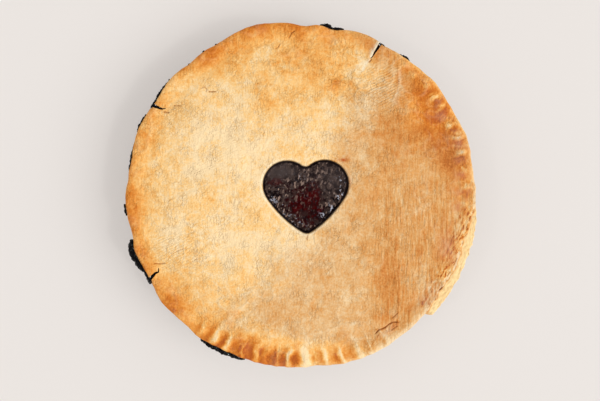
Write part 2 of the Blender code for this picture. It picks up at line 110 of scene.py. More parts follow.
def noise_at(points: Array, size: float, shift: float = 0.0) -> Array:
    """Smooth noise, from about -0.8 to 0.8, over points.

    Args:
        points: Rows of two or three coordinates.
        size: Width of one swell of the noise.
        shift: Moves the pattern, so that two uses differ.

    Returns:
        One value to each point.
    """
    scaled = np.zeros((len(points), 3))
    scaled[:, : points.shape[1]] = points
    rows = (scaled / size + shift).tolist()
    return np.array([noise.noise(row) for row in rows])


def distance_to_course(points: Array, course: Array) -> tuple[Array, Array]:
    """Finds how far points lie from a bent line.

    Args:
        points: Rows of x and y.
        course: The line's own points.

    Returns:
        The signed distance of each point, positive on the line's left, and its place along it from 0 to 1.
    """
    best = np.full(len(points), 1e9)
    side = np.ones(len(points))
    along = np.zeros(len(points))
    lengths = np.linalg.norm(np.diff(course, axis=0), axis=1)
    starts = np.concatenate([[0.0], np.cumsum(lengths)])
    for start, end, length, begin in zip(course, course[1:], lengths, starts):
        step = end - start
        share = np.clip((points - start) @ step / length**2, 0.0, 1.0)
        away = points - (start + share[:, None] * step)
        distance = np.linalg.norm(away, axis=1)
        nearer = distance < best
        best = np.where(nearer, distance, best)
        side = np.where(nearer, np.sign(step[0] * away[:, 1] - step[1] * away[:, 0] + 1e-12), side)
        along = np.where(nearer, (begin + share * length) / starts[-1], along)
    return best * side, along


def jittered(course: Sequence | Array, step: float, amount: float, shift: float) -> Array:
    """Redraws a bent line with closer points that wander from side to side, as a tear in dough does.

    Args:
        course: The line's own points.
        step: How far apart the new points are.
        amount: How far they wander.
        shift: Moves the noise, so that two lines differ.

    Returns:
        The new points.
    """
    points = np.array(course)
    lengths = np.linalg.norm(np.diff(points, axis=0), axis=1)
    places = np.concatenate([[0.0], np.cumsum(lengths)])
    count = max(2, int(places[-1] / step) + 1)
    drawn = np.linspace(0.0, places[-1], count)
    fine = np.stack([np.interp(drawn, places, points[:, k]) for k in range(2)], axis=1)
    shifts = (shift, shift + 9.0)  # so that x and y wander apart
    wander = np.stack([noise_at(fine, 4 * step, own) for own in shifts], axis=1)
    return fine + wander * amount


def in_box(points: Array, course: Array, reach: float) -> Array:
    """Says which points lie in the upright box round a bent line, widened by a reach."""
    low, high = course.min(axis=0) - reach, course.max(axis=0) + reach
    return np.all((points[:, :2] > low) & (points[:, :2] < high), axis=1)


@dataclass(frozen=True)
class Grain:
    """One kind of unevenness: its height, the width of its swells and the shift of its noise."""

    height: float
    size: float
    shift: float = 0.0

    def over(self, points: Array, share: Array | float = 1.0) -> Array:
        """Soft swells at points, as strong as their share."""
        return share * self.height * noise_at(points, self.size, self.shift)

    def folded(self, points: Array, share: Array | float = 1.0) -> Array:
        """Swells whose valleys are folded up, with sharp creases between them."""
        return share * self.height * np.abs(noise_at(points, self.size, self.shift))


# Meshes


def select_only(obj: Piece) -> None:
    """Selects one object and makes it the active one."""
    bpy.ops.object.select_all(action="DESELECT")
    obj.select_set(True)
    bpy.context.view_layer.objects.active = obj


def read_points(obj: Piece) -> Array:
    """Reads an object's vertices as rows of x, y and z."""
    flat = np.empty(len(obj.data.vertices) * 3)
    obj.data.vertices.foreach_get("co", flat)
    return flat.reshape(-1, 3)


def write_points(obj: Piece, points: Array) -> None:
    """Moves an object's vertices to new points."""
    obj.data.vertices.foreach_set("co", points.ravel())
    obj.data.update()


def read_normals(obj: Piece) -> Array:
    """Reads the directions that an object's vertices face."""
    flat = np.empty(len(obj.data.vertices) * 3)
    obj.data.vertex_normals.foreach_get("vector", flat)
    return flat.reshape(-1, 3)


def paint(obj: Piece, name: str, values: Array) -> None:
    """Stores one number at each vertex, for the finish to read."""
    layer = obj.data.attributes.new(name, "FLOAT", "POINT")
    layer.data.foreach_set("value", values.astype(np.float32))


def name_piece(name: str) -> Piece:
    """Names the active object and its mesh."""
    obj = bpy.context.active_object
    obj.name = name
    obj.data.name = name
    return obj


def refine(obj: Piece, wanted: Callable[[Array], Array], cuts: int) -> None:
    """Subdivides the faces whose middles are wanted, with edit mode's own operator.

    Args:
        obj: The piece.
        wanted: Takes the middles of all faces and says which are to be finer.
        cuts: How many cuts each edge gets.
    """
    select_only(obj)
    bpy.ops.object.mode_set(mode="EDIT")
    bpy.ops.mesh.select_all(action="DESELECT")
    bm = bmesh.from_edit_mesh(obj.data)
    chosen = wanted(np.array([face.calc_center_median() for face in bm.faces]))
    for face, pick in zip(bm.faces, chosen):
        if pick:
            face.select = True
    bmesh.update_edit_mesh(obj.data)
    bpy.ops.mesh.subdivide(number_cuts=cuts)
    bpy.ops.object.mode_set(mode="OBJECT")


def split_rings(obj: Piece, beyond: float, under: float) -> None:
    """Halves the edges of the upper side that run in and out, so that it has twice the rings there.

    Args:
        obj: The piece.
        beyond: Radius outside which edges are halved.
        under: Height above which they are.
    """
    select_only(obj)
    bpy.ops.object.mode_set(mode="EDIT")
    bpy.ops.mesh.select_mode(type="EDGE")
    bpy.ops.mesh.select_all(action="DESELECT")
    bm = bmesh.from_edit_mesh(obj.data)
    for edge in bm.edges:
        first, second = (vert.co for vert in edge.verts)
        middle = (first + second) / 2
        across = (second - first).xy.normalized()
        round_share = abs(across.dot(middle.xy.normalized()))
        edge.select = middle.xy.length > beyond and middle.z > under and round_share < 0.7
    bmesh.update_edit_mesh(obj.data)
    bpy.ops.mesh.subdivide(number_cuts=1)
    bpy.ops.mesh.select_mode(type="VERT")
    bpy.ops.object.mode_set(mode="OBJECT")


def turn_outwards(obj: Piece) -> None:
    """Merges a piece's doubled vertices and makes every face point out."""
    select_only(obj)
    bpy.ops.object.mode_set(mode="EDIT")
    bpy.ops.mesh.select_all(action="SELECT")
    bpy.ops.mesh.remove_doubles(threshold=1e-6)
    bpy.ops.mesh.normals_make_consistent(inside=False)
    bpy.ops.object.mode_set(mode="OBJECT")


def apply_modifier(obj: Piece, kind: str, **settings: object) -> None:
    """Adds a modifier and applies it.

    Args:
        obj: The piece.
        kind: The modifier's type.
        settings: Its properties, by name.
    """
    select_only(obj)
    modifier = obj.modifiers.new(kind.lower(), kind)
    for key, value in settings.items():
        setattr(modifier, key, value)
    bpy.ops.object.modifier_apply(modifier=modifier.name)


def smooth(obj: Piece, angle: float) -> None:
    """Shades a piece smooth, apart from edges sharper than an angle in degrees."""
    select_only(obj)
    bpy.ops.object.shade_smooth_by_angle(angle=radians(angle))


def round_lattice(name: str, segments: int, rings: int) -> tuple[Piece, Array, Array]:
    """Adds a sphere whose every ring is then moved to its own station of a closed shell.

    Args:
        name: The piece's name.
        segments: Points to each ring.
        rings: Stations from pole to pole.

    Returns:
        The object, and for each vertex its angle and its ring, from 0 at the upper pole.
    """
    bpy.ops.mesh.primitive_uv_sphere_add(segments=segments, ring_count=rings, radius=1.0)
    obj = name_piece(name)
    points = read_points(obj)
    turns = np.degrees(np.arccos(np.clip(points[:, 2], -1.0, 1.0)))
    return obj, bearing(points), np.rint(turns / 180 * rings).astype(int)


def finish_piece(obj: Piece, material: Finish, slot: Slot, *nodes: str) -> None:
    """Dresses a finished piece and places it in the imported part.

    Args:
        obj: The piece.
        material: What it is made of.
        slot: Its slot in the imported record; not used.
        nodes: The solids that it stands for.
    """
    obj.data.materials.clear()
    obj.data.materials.append(material)
    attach(obj, "root")
    if nodes:
        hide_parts(*nodes)
    obj.data.calc_loop_triangles()
    log.info("%s: %d triangles", obj.name, len(obj.data.loop_triangles))


# Shader maths


class Wire:
    """One output of a material's nodes, with the operators that turn expressions into Math nodes."""

    def __init__(self, bench: "Bench", socket: bpy.types.NodeSocket) -> None:
        """Keeps the node tree's owner and the socket."""
        self.bench = bench
        self.socket = socket

    def __add__(self, other: "Wire | float") -> "Wire":
        """Sum."""
        return self.bench.math("ADD", self, other)

    def __sub__(self, other: "Wire | float") -> "Wire":
        """Difference."""
        return self.bench.math("SUBTRACT", self, other)

    def __rsub__(self, other: "Wire | float") -> "Wire":
        """Difference, with the wire taken away."""
        return self.bench.math("SUBTRACT", other, self)

    def __mul__(self, other: "Wire | float") -> "Wire":
        """Product."""
        return self.bench.math("MULTIPLY", self, other)

    __radd__ = __add__
    __rmul__ = __mul__

    def step(self, low: float, high: float) -> "Wire":
        """0 at one value and 1 at another, with an even curve between."""
        inputs = {"Value": self, "From Min": low, "From Max": high}
        return self.bench.wire("ShaderNodeMapRange", {"interpolation_type": "SMOOTHSTEP"}, inputs)

    def part(self, axis: str) -> "Wire":
        """One axis of a vector."""
        return self.bench.wire("ShaderNodeSeparateXYZ", {}, {0: self}, axis)


class Bench:
    """A node tree, of a material or the world, and the ways of adding to it."""

    def __init__(self, owner: Finish | bpy.types.World) -> None:
        """Switches the owner's nodes on and keeps its tree."""
        owner.use_nodes = True
        self.owner = owner
        self.tree = owner.node_tree

    @classmethod
    def for_material(cls, name: str) -> "Bench":
        """Starts a material with one Principled shader."""
        return cls(bpy.data.materials.new(name))

    def node(self, kind: str, settings: dict | None = None, inputs: dict | None = None) -> bpy.types.Node:
        """Adds any node.

        Args:
            kind: The node's type.
            settings: Its properties, with a ramp's stops under "stops".
            inputs: Values or wires for its sockets, by name or place.

        Returns:
            The node.
        """
        node = self.tree.nodes.new(kind)
        for key, value in (settings or {}).items():
            if key == "stops":
                self.set_stops(node.color_ramp, value)
            else:
                setattr(node, key, value)
        for key, value in (inputs or {}).items():
            self.feed(node.inputs[key], value)
        return node

    def wire(
        self, kind: str, settings: dict | None = None, inputs: dict | None = None, output: int | str = 0
    ) -> Wire:
        """Adds any node and takes one of its outputs."""
        return Wire(self, self.node(kind, settings, inputs).outputs[output])

    def set_stops(self, ramp: bpy.types.ColorRamp, stops: Stops) -> None:
        """Places a ramp's colours, in order."""
        for i, (place, colour) in enumerate(stops):
            stop = ramp.elements[i] if i < 2 else ramp.elements.new(place)
            stop.position = place
            stop.color = (*colour, 1.0)

    def feed(self, socket: bpy.types.NodeSocket, value: "Wire | float | Sequence[float]") -> None:
        """Links a wire to a socket, or sets the socket's value.

        Args:
            socket: A node's input.
            value: What it gets, with a colour as its red, green and blue.
        """
        if isinstance(value, Wire):
            self.tree.links.new(value.socket, socket)
        elif isinstance(value, tuple) and socket.type == "RGBA":
            socket.default_value = (*value, 1.0)
        else:
            socket.default_value = value

    def math(self, operation: str, *values: "Wire | float") -> Wire:
        """Adds a Math node."""
        return self.wire("ShaderNodeMath", {"operation": operation}, dict(enumerate(values)))

    def mix(self, share: "Wire | float", low: "Wire | Colour", high: "Wire | Colour") -> Wire:
        """Mixes two colours."""
        return self.wire("ShaderNodeMix", {"data_type": "RGBA"}, {0: share, 6: low, 7: high}, 2)

    def layered(self, colour: "Wire | Colour", *layers: "tuple[Wire | float, Colour]") -> Wire:
        """Lays tones over a colour, one after another.

        Args:
            colour: What lies beneath them all.
            layers: The share and the tone of each.

        Returns:
            The colour that shows.
        """
        for share, tone in layers:
            colour = self.mix(share, colour, tone)
        return colour

    def ramp(self, share: Wire, stops: Stops) -> Wire:
        """Reads a colour from a row of stops."""
        return self.wire("ShaderNodeValToRGB", {"stops": stops}, {0: share})

    def tones(self, level: Wire, stops: Stops) -> Wire:
        """Reads a colour from stops that may go past 1."""
        last = stops[-1][0]
        return self.ramp(level * (1 / last), [(place / last, colour) for place, colour in stops])

    def place(self) -> Wire:
        """The point on the piece, in metres."""
        return self.wire("ShaderNodeTexCoord", output="Object")

    def stretch(self, place: Wire, sizes: Sequence[float], turn: float = 0.0) -> Wire:
        """Turns a place about +Z, then measures it in steps of its own size along each axis.

        Args:
            place: Points in metres.
            sizes: The step along each axis.
            turn: The turn in degrees.

        Returns:
            The points, with patterns of size 1 drawn out to the steps.
        """
        inputs = {"Vector": place, "Rotation": (0.0, 0.0, radians(turn))}
        turned = self.wire("ShaderNodeMapping", {}, inputs)
        inputs = {"Vector": turned, "Scale": tuple(1 / size for size in sizes)}
        return self.wire("ShaderNodeMapping", {}, inputs)

    def noise(
        self, place: Wire, size: float, detail: float = 2.0, rough: float = 0.5, bend: float = 0.0
    ) -> Wire:
        """Noise from 0 to 1 with swells of one size."""
        look = {"Detail": detail, "Roughness": rough, "Distortion": bend}
        return self.wire("ShaderNodeTexNoise", {}, {"Vector": place, "Scale": 1 / size, **look})

    def warped(self, place: Wire, size: float, amount: float) -> Wire:
        """Moves a place about by noise.

        Args:
            place: Points in metres.
            size: Width of the noise's swells.
            amount: How far it moves them.

        Returns:
            The moved points.
        """
        drift = self.wire("ShaderNodeTexNoise", {}, {"Vector": place, "Scale": 1 / size, "Detail": 2.0}, 1)
        inputs = {0: drift, 1: (0.5, 0.5, 0.5)}
        centred = self.wire("ShaderNodeVectorMath", {"operation": "SUBTRACT"}, inputs)
        inputs = {0: centred, 1: (amount, amount, amount), 2: place}
        return self.wire("ShaderNodeVectorMath", {"operation": "MULTIPLY_ADD"}, inputs)

    def cells(self, place: Wire, size: float, feature: str = "DISTANCE_TO_EDGE") -> Wire:
        """Distance inside a net of cells, to their edges or to their middles."""
        inputs = {"Vector": place, "Scale": 1 / size}
        return self.wire("ShaderNodeTexVoronoi", {"feature": feature}, inputs, "Distance")

    def creases(self, place: Wire, size: float, width: float) -> tuple[Wire, Wire]:
        """Draws thin wandering lines where noise passes through its middle value.

        Args:
            place: Points in metres.
            size: Width of the noise's swells.
            width: Width of a line, in the noise's own values.

        Returns:
            The lines, and a ridge along one side of each.
        """
        level = self.noise(place, size, 3.0, 0.55)
        middles = (0.5, 0.5 + 1.9 * width)  # the ridge begins where the line ends
        line, ridge = (self.math("ABSOLUTE", level - middle).step(width, 0.0) for middle in middles)
        return line, ridge

    def painted(self, name: str) -> Wire:
        """A number stored at the piece's vertices."""
        return self.wire("ShaderNodeAttribute", {"attribute_name": name}, {}, "Fac")

    def bump(self, height: Wire, depth: float) -> Wire:
        """Turns a height from 0 to 1 into a bumpy normal."""
        return self.wire("ShaderNodeBump", {}, {"Height": height, "Distance": depth, "Strength": 1.0})

    def surface(self, **values: "Wire | float | Colour") -> Finish:
        """Fills the Principled shader's sockets.

        Args:
            values: What each socket gets, by its name with _ for a space.

        Returns:
            The material.
        """
        shader = self.tree.nodes["Principled BSDF"]
        for key, value in values.items():
            self.feed(shader.inputs[key.replace("_", " ")], value)
        return self.owner


def screen(*parts: float) -> Colour:
    """Linear colour of a red, green and blue as a screen shows them, each from 0 to 255."""
    shares = (part / 255 for part in parts)
    return tuple(part / 12.92 if part <= 0.04045 else ((part + 0.055) / 1.055) ** 2.4 for part in shares)


def stops(*rows: tuple[float, ...]) -> Stops:
    """Stops of a ramp, from rows of a place and a screen's red, green and blue."""
    return tuple((place, screen(*parts)) for place, *parts in rows)


# Finishes


@dataclass(frozen=True)
class BakedCrust:
    """Dry golden crust: pale skin that browns in patches, wrinkled, streaked and finely crazed."""

    vivid: Stops = stops(
        (0.0, 255, 225, 175), (0.25, 254, 208, 138), (0.5, 248, 184, 100), (0.75, 236, 155, 66),
        (1.0, 216, 123, 30), (1.3, 187, 92, 14),
    )
    tan: Stops = stops(
        (0.0, 243, 213, 167), (0.25, 233, 190, 134), (0.5, 225, 166, 98), (0.75, 214, 140, 66),
        (1.0, 193, 110, 37), (1.3, 150, 76, 20),
    )
    crack_tone: Colour = screen(158, 84, 20)
    crazing_and_shade_tone: Colour = screen(190, 118, 58)
    flour_and_highlight_tone: Colour = screen(255, 240, 208)
    stain_tone: Colour = screen(190, 92, 24)
    blush_tone: Colour = screen(206, 132, 100)
    juice_and_shade_tone: Colour = screen(24, 8, 10)
    patch_size: float = 0.017
    blotch_size: float = 0.0095
    mottle_size: float = 0.006
    grain_size: float = 0.0014
    crazing_size: float = 0.003
    shred_sizes: Triple = (0.0019, 0.006, 0.006)
    crease_sizes: Pair = (0.0105, 0.0052)
    crease_width: float = 0.02
    streak_sizes: Triple = (0.0016, 0.015, 0.015)
    thread_sizes: Triple = (0.0011, 0.012, 0.012)
    thread_share: float = 0.16
    net_size: float = 0.005
    hair_sizes: Triple = (0.0022, 0.0075, 0.0075)
    broad_streak_sizes: Triple = (0.003, 0.018, 0.018)
    hatch_sizes: Triple = (0.012, 0.0018, 0.012)
    hatch_lean: float = -27.0
    hatch_share: float = 0.38
    agate_size: float = 0.013
    agate_rings: float = 58.0
    agate_share: float = 0.14
    shred_lean: float = 28.0
    bump_depth: float = 0.001

    def drawn_skin(self, bench: Bench, place: Wire, streaky: Wire) -> Wire:
        """Draws the skin's hatching, its rings like an agate's, and its streaks.

        Args:
            bench: The material's node tree.
            place: Points in metres.
            streaky: Where the skin is streaked.

        Returns:
            A level that is brown above 0 and pale below it.
        """
        streak = bench.noise(bench.stretch(place, self.streak_sizes), 1.0, 3.0, 0.6) - 0.5
        broad = bench.noise(bench.stretch(place, self.broad_streak_sizes), 1.0, 2.0, 0.5) - 0.5
        drawn = bench.stretch(bench.warped(place, 0.012, 0.0016), self.thread_sizes)
        thread = bench.noise(drawn, 1.0, 1.0, 0.4)
        threads = thread.step(0.54, 0.64) - thread.step(0.46, 0.36) * 0.8
        turned = bench.stretch(bench.warped(place, 0.007, 0.0022), self.hatch_sizes, self.hatch_lean)
        lines = bench.math("SINE", turned.part("Y") * (2 * pi)) * bench.noise(turned, 3.0, 2.0)
        rings = bench.math("SINE", bench.noise(place, self.agate_size, 1.0, 0.4, 0.3) * self.agate_rings)
        hatching = lines * bench.painted("hatch") * self.hatch_share
        ringed = rings * bench.painted("agate") * self.agate_share
        return hatching + ringed + (streak + broad * 0.5 - threads * self.thread_share) * streaky

    def material(self) -> Finish:
        """Builds the golden crust's material.

        Returns:
            The material.
        """
        bench = Bench.for_material("golden_crust")
        place = bench.place()
        names = ("brown", "tan", "crimp_shading", "streaky", "vein", "torn", "juice_and_shade", "crackled")
        brown, tan, crimp_shading, streaky, vein, torn, juice_and_shade, crackled = map(bench.painted, names)
        # Patterns, each from about -0.5 to 0.5, and calmer where the skin is streaked
        calm = 1 - streaky * 0.45
        patch = bench.noise(place, self.patch_size, 3.0, 0.55) - 0.5
        blotch = bench.noise(place, self.blotch_size, 3.0, 0.6, 0.8) - 0.5
        mottle = bench.noise(place, self.mottle_size, 5.0, 0.62, 0.5) - 0.5
        grain = bench.noise(place, self.grain_size, 3.0, 0.6) - 0.5
        wrinkle = self.drawn_skin(bench, place, streaky)
        frayed = bench.stretch(bench.warped(place, 0.004, 0.0022), self.shred_sizes, self.shred_lean)
        shred = bench.noise(frayed, 1.0, 4.0, 0.6) - 0.5
        shreds = shred * torn
        # Thin lines, 1 on a line and 0 beside it
        bent = bench.warped(place, self.crazing_size, self.crazing_size * 0.8)
        crazed = 1 - bench.cells(bent, self.crazing_size).step(0.0, 0.16)
        hairs = 1 - bench.cells(bench.stretch(bent, self.hair_sizes), 1.0).step(0.0, 0.1)
        here = bench.noise(place, 0.011, 2.0).step(0.45, 0.65)
        folded = bench.warped(place, 0.005, 0.0042)
        net = (1 - bench.cells(folded, self.net_size).step(0.0, 0.1)) * crackled
        # Creases: each line gets painted shade, and the ridge along one side of it a painted highlight
        creases = (bench.creases(folded, size, self.crease_width) for size in self.crease_sizes)
        (long, long_ridge), (short, short_ridge) = creases
        lively = (0.18 + crackled * 0.5 + here * 0.28) * (1 - streaky * 0.5)
        crease = (long * 0.8 + short * 0.6) * lively
        ridge = (long_ridge * 0.8 + short_ridge * 0.6) * lively
        # How brown the skin is: paler on the painted highlights of the crimps' ridges, the veins' crests
        # and the creases' ridges, browner in the crimps' painted shade; then how dull
        level = brown + patch * 0.48 + (blotch * 0.72 + mottle * 0.84) * calm + grain * 0.7
        level = level + wrinkle * 0.7 + shreds * 2.6 + shreds.step(0.05, 0.12) * 0.5
        level = level - crimp_shading * 0.7 - vein * 0.16 - ridge * 0.2
        warm = tan + (patch * 0.8 - mottle * 0.5 - blotch * 0.5) * calm
        colour = bench.layered(
            bench.mix(warm.step(0.2, 0.8), bench.tones(level, self.vivid), bench.tones(level, self.tan)),
            (crazed * (0.02 + here * 0.07), self.crazing_and_shade_tone),
            (hairs * (0.03 + here * 0.07), self.crazing_and_shade_tone),
            (net * 0.14, self.crazing_and_shade_tone),
            # Painted shade in the creases
            (crease * 0.2, self.crazing_and_shade_tone),
            (bench.painted("blush") * (0.7 + shred * 1.6), self.blush_tone),
            # Painted highlight on the veins' crests
            (vein * 0.18, self.flour_and_highlight_tone),
            # Painted highlight round the hole's edge and on the lifted slit's flap, with pale strokes
            # beside it
            (bench.painted("flour_and_highlight"), self.flour_and_highlight_tone),
            # Cracks: the moist inside's own colour, partly painted shade in their depth
            (bench.painted("crack"), self.crack_tone),
            (bench.painted("stain"), self.stain_tone),
            # Juice stain, with painted shade on the hole's wall and deep in the slits
            (juice_and_shade, self.juice_and_shade_tone),
        )
        # How high it stands, in shares of the bump's depth
        height = mottle * 0.6 + grain * 0.5 + wrinkle * 0.9 + vein * 0.5 + shreds * 1.2
        height = height - crazed * (0.06 + here * 0.14) - hairs * (0.08 + here * 0.14) - net * 0.22
        height = height + ridge * 0.16 - crease * 0.22
        return bench.surface(
            Base_Color=colour,
            Roughness=0.66 - juice_and_shade * 0.3 + grain * 0.2,
            Normal=bench.bump(height, self.bump_depth),
            Specular_IOR_Level=0.25,
        )


@dataclass(frozen=True)
class FlakyCrust:
    """Pale crust that never browned: cream, crumbly and layered along its edge."""

    bake: Stops = stops(
        (0.0, 182, 104, 50), (0.3, 222, 156, 90), (0.6, 242, 192, 124), (1.0, 252, 222, 164),
    )
    juice_and_shade_tone: Colour = screen(20, 8, 10)
    crumb_size: float = 0.0016
    cloud_size: float = 0.009
    layer_sizes: Triple = (0.006, 0.006, 0.0006)
    bump_depth: float = 0.0004

    def material(self) -> Finish:
        """Builds the pale crust's material.

        Returns:
            The material.
        """
        bench = Bench.for_material("pale_crust")
        place = bench.place()
        crumb = bench.noise(place, self.crumb_size, 4.0, 0.6) - 0.5
        cloud = bench.noise(place, self.cloud_size, 2.0) - 0.5
        layers = bench.noise(bench.stretch(place, self.layer_sizes), 1.0, 2.0) - 0.5
        level = bench.painted("cream") + crumb * 0.4 + cloud * 0.35 + layers * 0.25
        # Under the slits, juice with painted shade
        colour = bench.mix(bench.painted("juice_and_shade"), bench.ramp(level, self.bake), self.juice_and_shade_tone)
        normal = bench.bump(crumb * 0.6 + layers * 0.6, self.bump_depth)
        return bench.surface(Base_Color=colour, Roughness=0.7, Normal=normal, Specular_IOR_Level=0.25)


@dataclass(frozen=True)
class BerryFilling:
    """Cooked berry filling: near black and wet, with deep red where light goes in."""

    dark: Colour = screen(16, 6, 8)
    red: Colour = screen(62, 0, 0)
    skin: Colour = screen(82, 66, 60)
    fleck_tone: Colour = screen(148, 124, 112)
    sheen: Colour = screen(71, 61, 59)
    glint_tone: Colour = screen(208, 210, 224)
    pool_size: float = 0.0075
    mottle_size: float = 0.0032
    fleck_sizes: Triple = (0.0017, 0.0036, 0.0036)
    fleck_lean: float = 12.0
    glint_size: float = 0.002
    bump_depth: float = 0.0005

    def material(self) -> Finish:
        """Builds the filling's material.

        Returns:
            The material.
        """
        bench = Bench.for_material("dark_filling")
        place = bench.place()
        calm, wall, deep, shine = map(bench.painted, ("calm", "wall", "red", "glint"))
        pool = bench.noise(bench.warped(place, 0.006, 0.004), self.pool_size, 2.0)
        mottle = bench.noise(bench.warped(place, 0.004, 0.003), self.mottle_size, 5.0, 0.65)
        flecks = bench.noise(bench.stretch(place, self.fleck_sizes, self.fleck_lean), 1.0, 2.0, 0.5)
        glints = bench.noise(place, self.glint_size, 1.0)
        # Along the hole's wall the filling is left dark, as painted shade
        clear = 1 - wall
        red = deep * (0.22 + pool.step(0.42, 0.54) * 0.78) * (0.35 + mottle.step(0.58, 0.44) * 0.65)
        # Grey-brown berry skin, partly a painted reflection of the bumpy wet surface
        skin = (mottle.step(0.44, 0.58) * 0.8 + 0.02) * (1 - deep * 0.97)
        crumbs = flecks.step(0.56, 0.66) * (1 - deep * 0.78) * (1 - calm)
        sparks = (glints + shine * 0.08).step(0.62, 0.69) * shine
        colour = bench.layered(
            self.dark,
            (red * clear, self.red),
            (skin * clear, self.skin),
            (crumbs * clear, self.fleck_tone),
            # Painted sheen on the smooth lobes, then painted glints
            (calm * 0.9, self.sheen),
            (sparks * clear, self.glint_tone),
        )
        rough = 0.26 + mottle.step(0.35, 0.65) * 0.16 + calm * 0.2 + deep * 0.24
        normal = bench.bump((mottle * 0.9 + flecks * 0.5) * (1 - calm) * clear, self.bump_depth)
        return bench.surface(Base_Color=colour, Roughness=rough, Normal=normal, Specular_IOR_Level=0.03)


@dataclass(frozen=True)
class CookedJuice:
    """Boiled-over juice, dried black and blistered, with a wet gloss."""

    thick: Colour = screen(6, 5, 8)
    thin: Colour = screen(62, 14, 12)
    reflection_tone: Colour = screen(74, 88, 84)
    glint_tone: Colour = screen(186, 194, 192)
    glint_size: float = 0.0015
    mottle_size: float = 0.0016
    blister_size: float = 0.0012
    bump_depth: float = 0.0005

    def material(self) -> Finish:
        """Builds the juice's material.

        Returns:
            The material.
        """
        bench = Bench.for_material("dark_juice")
        place = bench.place()
        blisters = bench.cells(place, self.blister_size, "F1")
        mottle = bench.noise(place, self.mottle_size, 3.0)
        glint = bench.noise(place, self.glint_size, 1.0)
        colour = bench.layered(
            self.thick,
            (mottle.step(0.6, 0.8) * 0.5, self.thin),
            # Painted reflections and glints on the blisters
            (glint.step(0.6, 0.72) * 0.5, self.reflection_tone),
            (glint.step(0.72, 0.78), self.glint_tone),
        )
        normal = bench.bump(mottle * 0.8 - blisters * 0.8, self.bump_depth)
        rough = 0.08 + mottle * 0.12
        return bench.surface(Base_Color=colour, Roughness=rough, Normal=normal, Specular_IOR_Level=0.06)


@dataclass(frozen=True)
class SpunTin:
    """Plain aluminium sheet, pressed and satin, with faint turning marks and a little scorching."""

    bright: Colour = screen(196, 196, 198)
    dull: Colour = screen(158, 156, 152)
    scorch: Colour = screen(120, 98, 72)
    turning_sizes: Triple = (0.2, 0.2, 0.0004)
    smudge_size: float = 0.03
    spot_size: float = 0.006
    bump_depth: float = 0.00004

    def material(self) -> Finish:
        """Builds the tin's material.

        Returns:
            The material.
        """
        bench = Bench.for_material("tin_metal")
        place = bench.place()
        rings = bench.noise(bench.stretch(place, self.turning_sizes), 1.0, 2.0)
        smudge = bench.noise(place, self.smudge_size, 3.0)
        scorched = bench.noise(place, self.spot_size, 3.0).step(0.66, 0.78)
        colour = bench.layered(
            self.bright, (smudge.step(0.35, 0.7), self.dull), (scorched * 0.5, self.scorch)
        )
        rough = 0.3 + smudge * 0.16 + scorched * 0.2
        normal = bench.bump(rings * 0.6 + smudge * 0.4, self.bump_depth)
        return bench.surface(Base_Color=colour, Roughness=rough, Metallic=1.0, Normal=normal)


# The heart


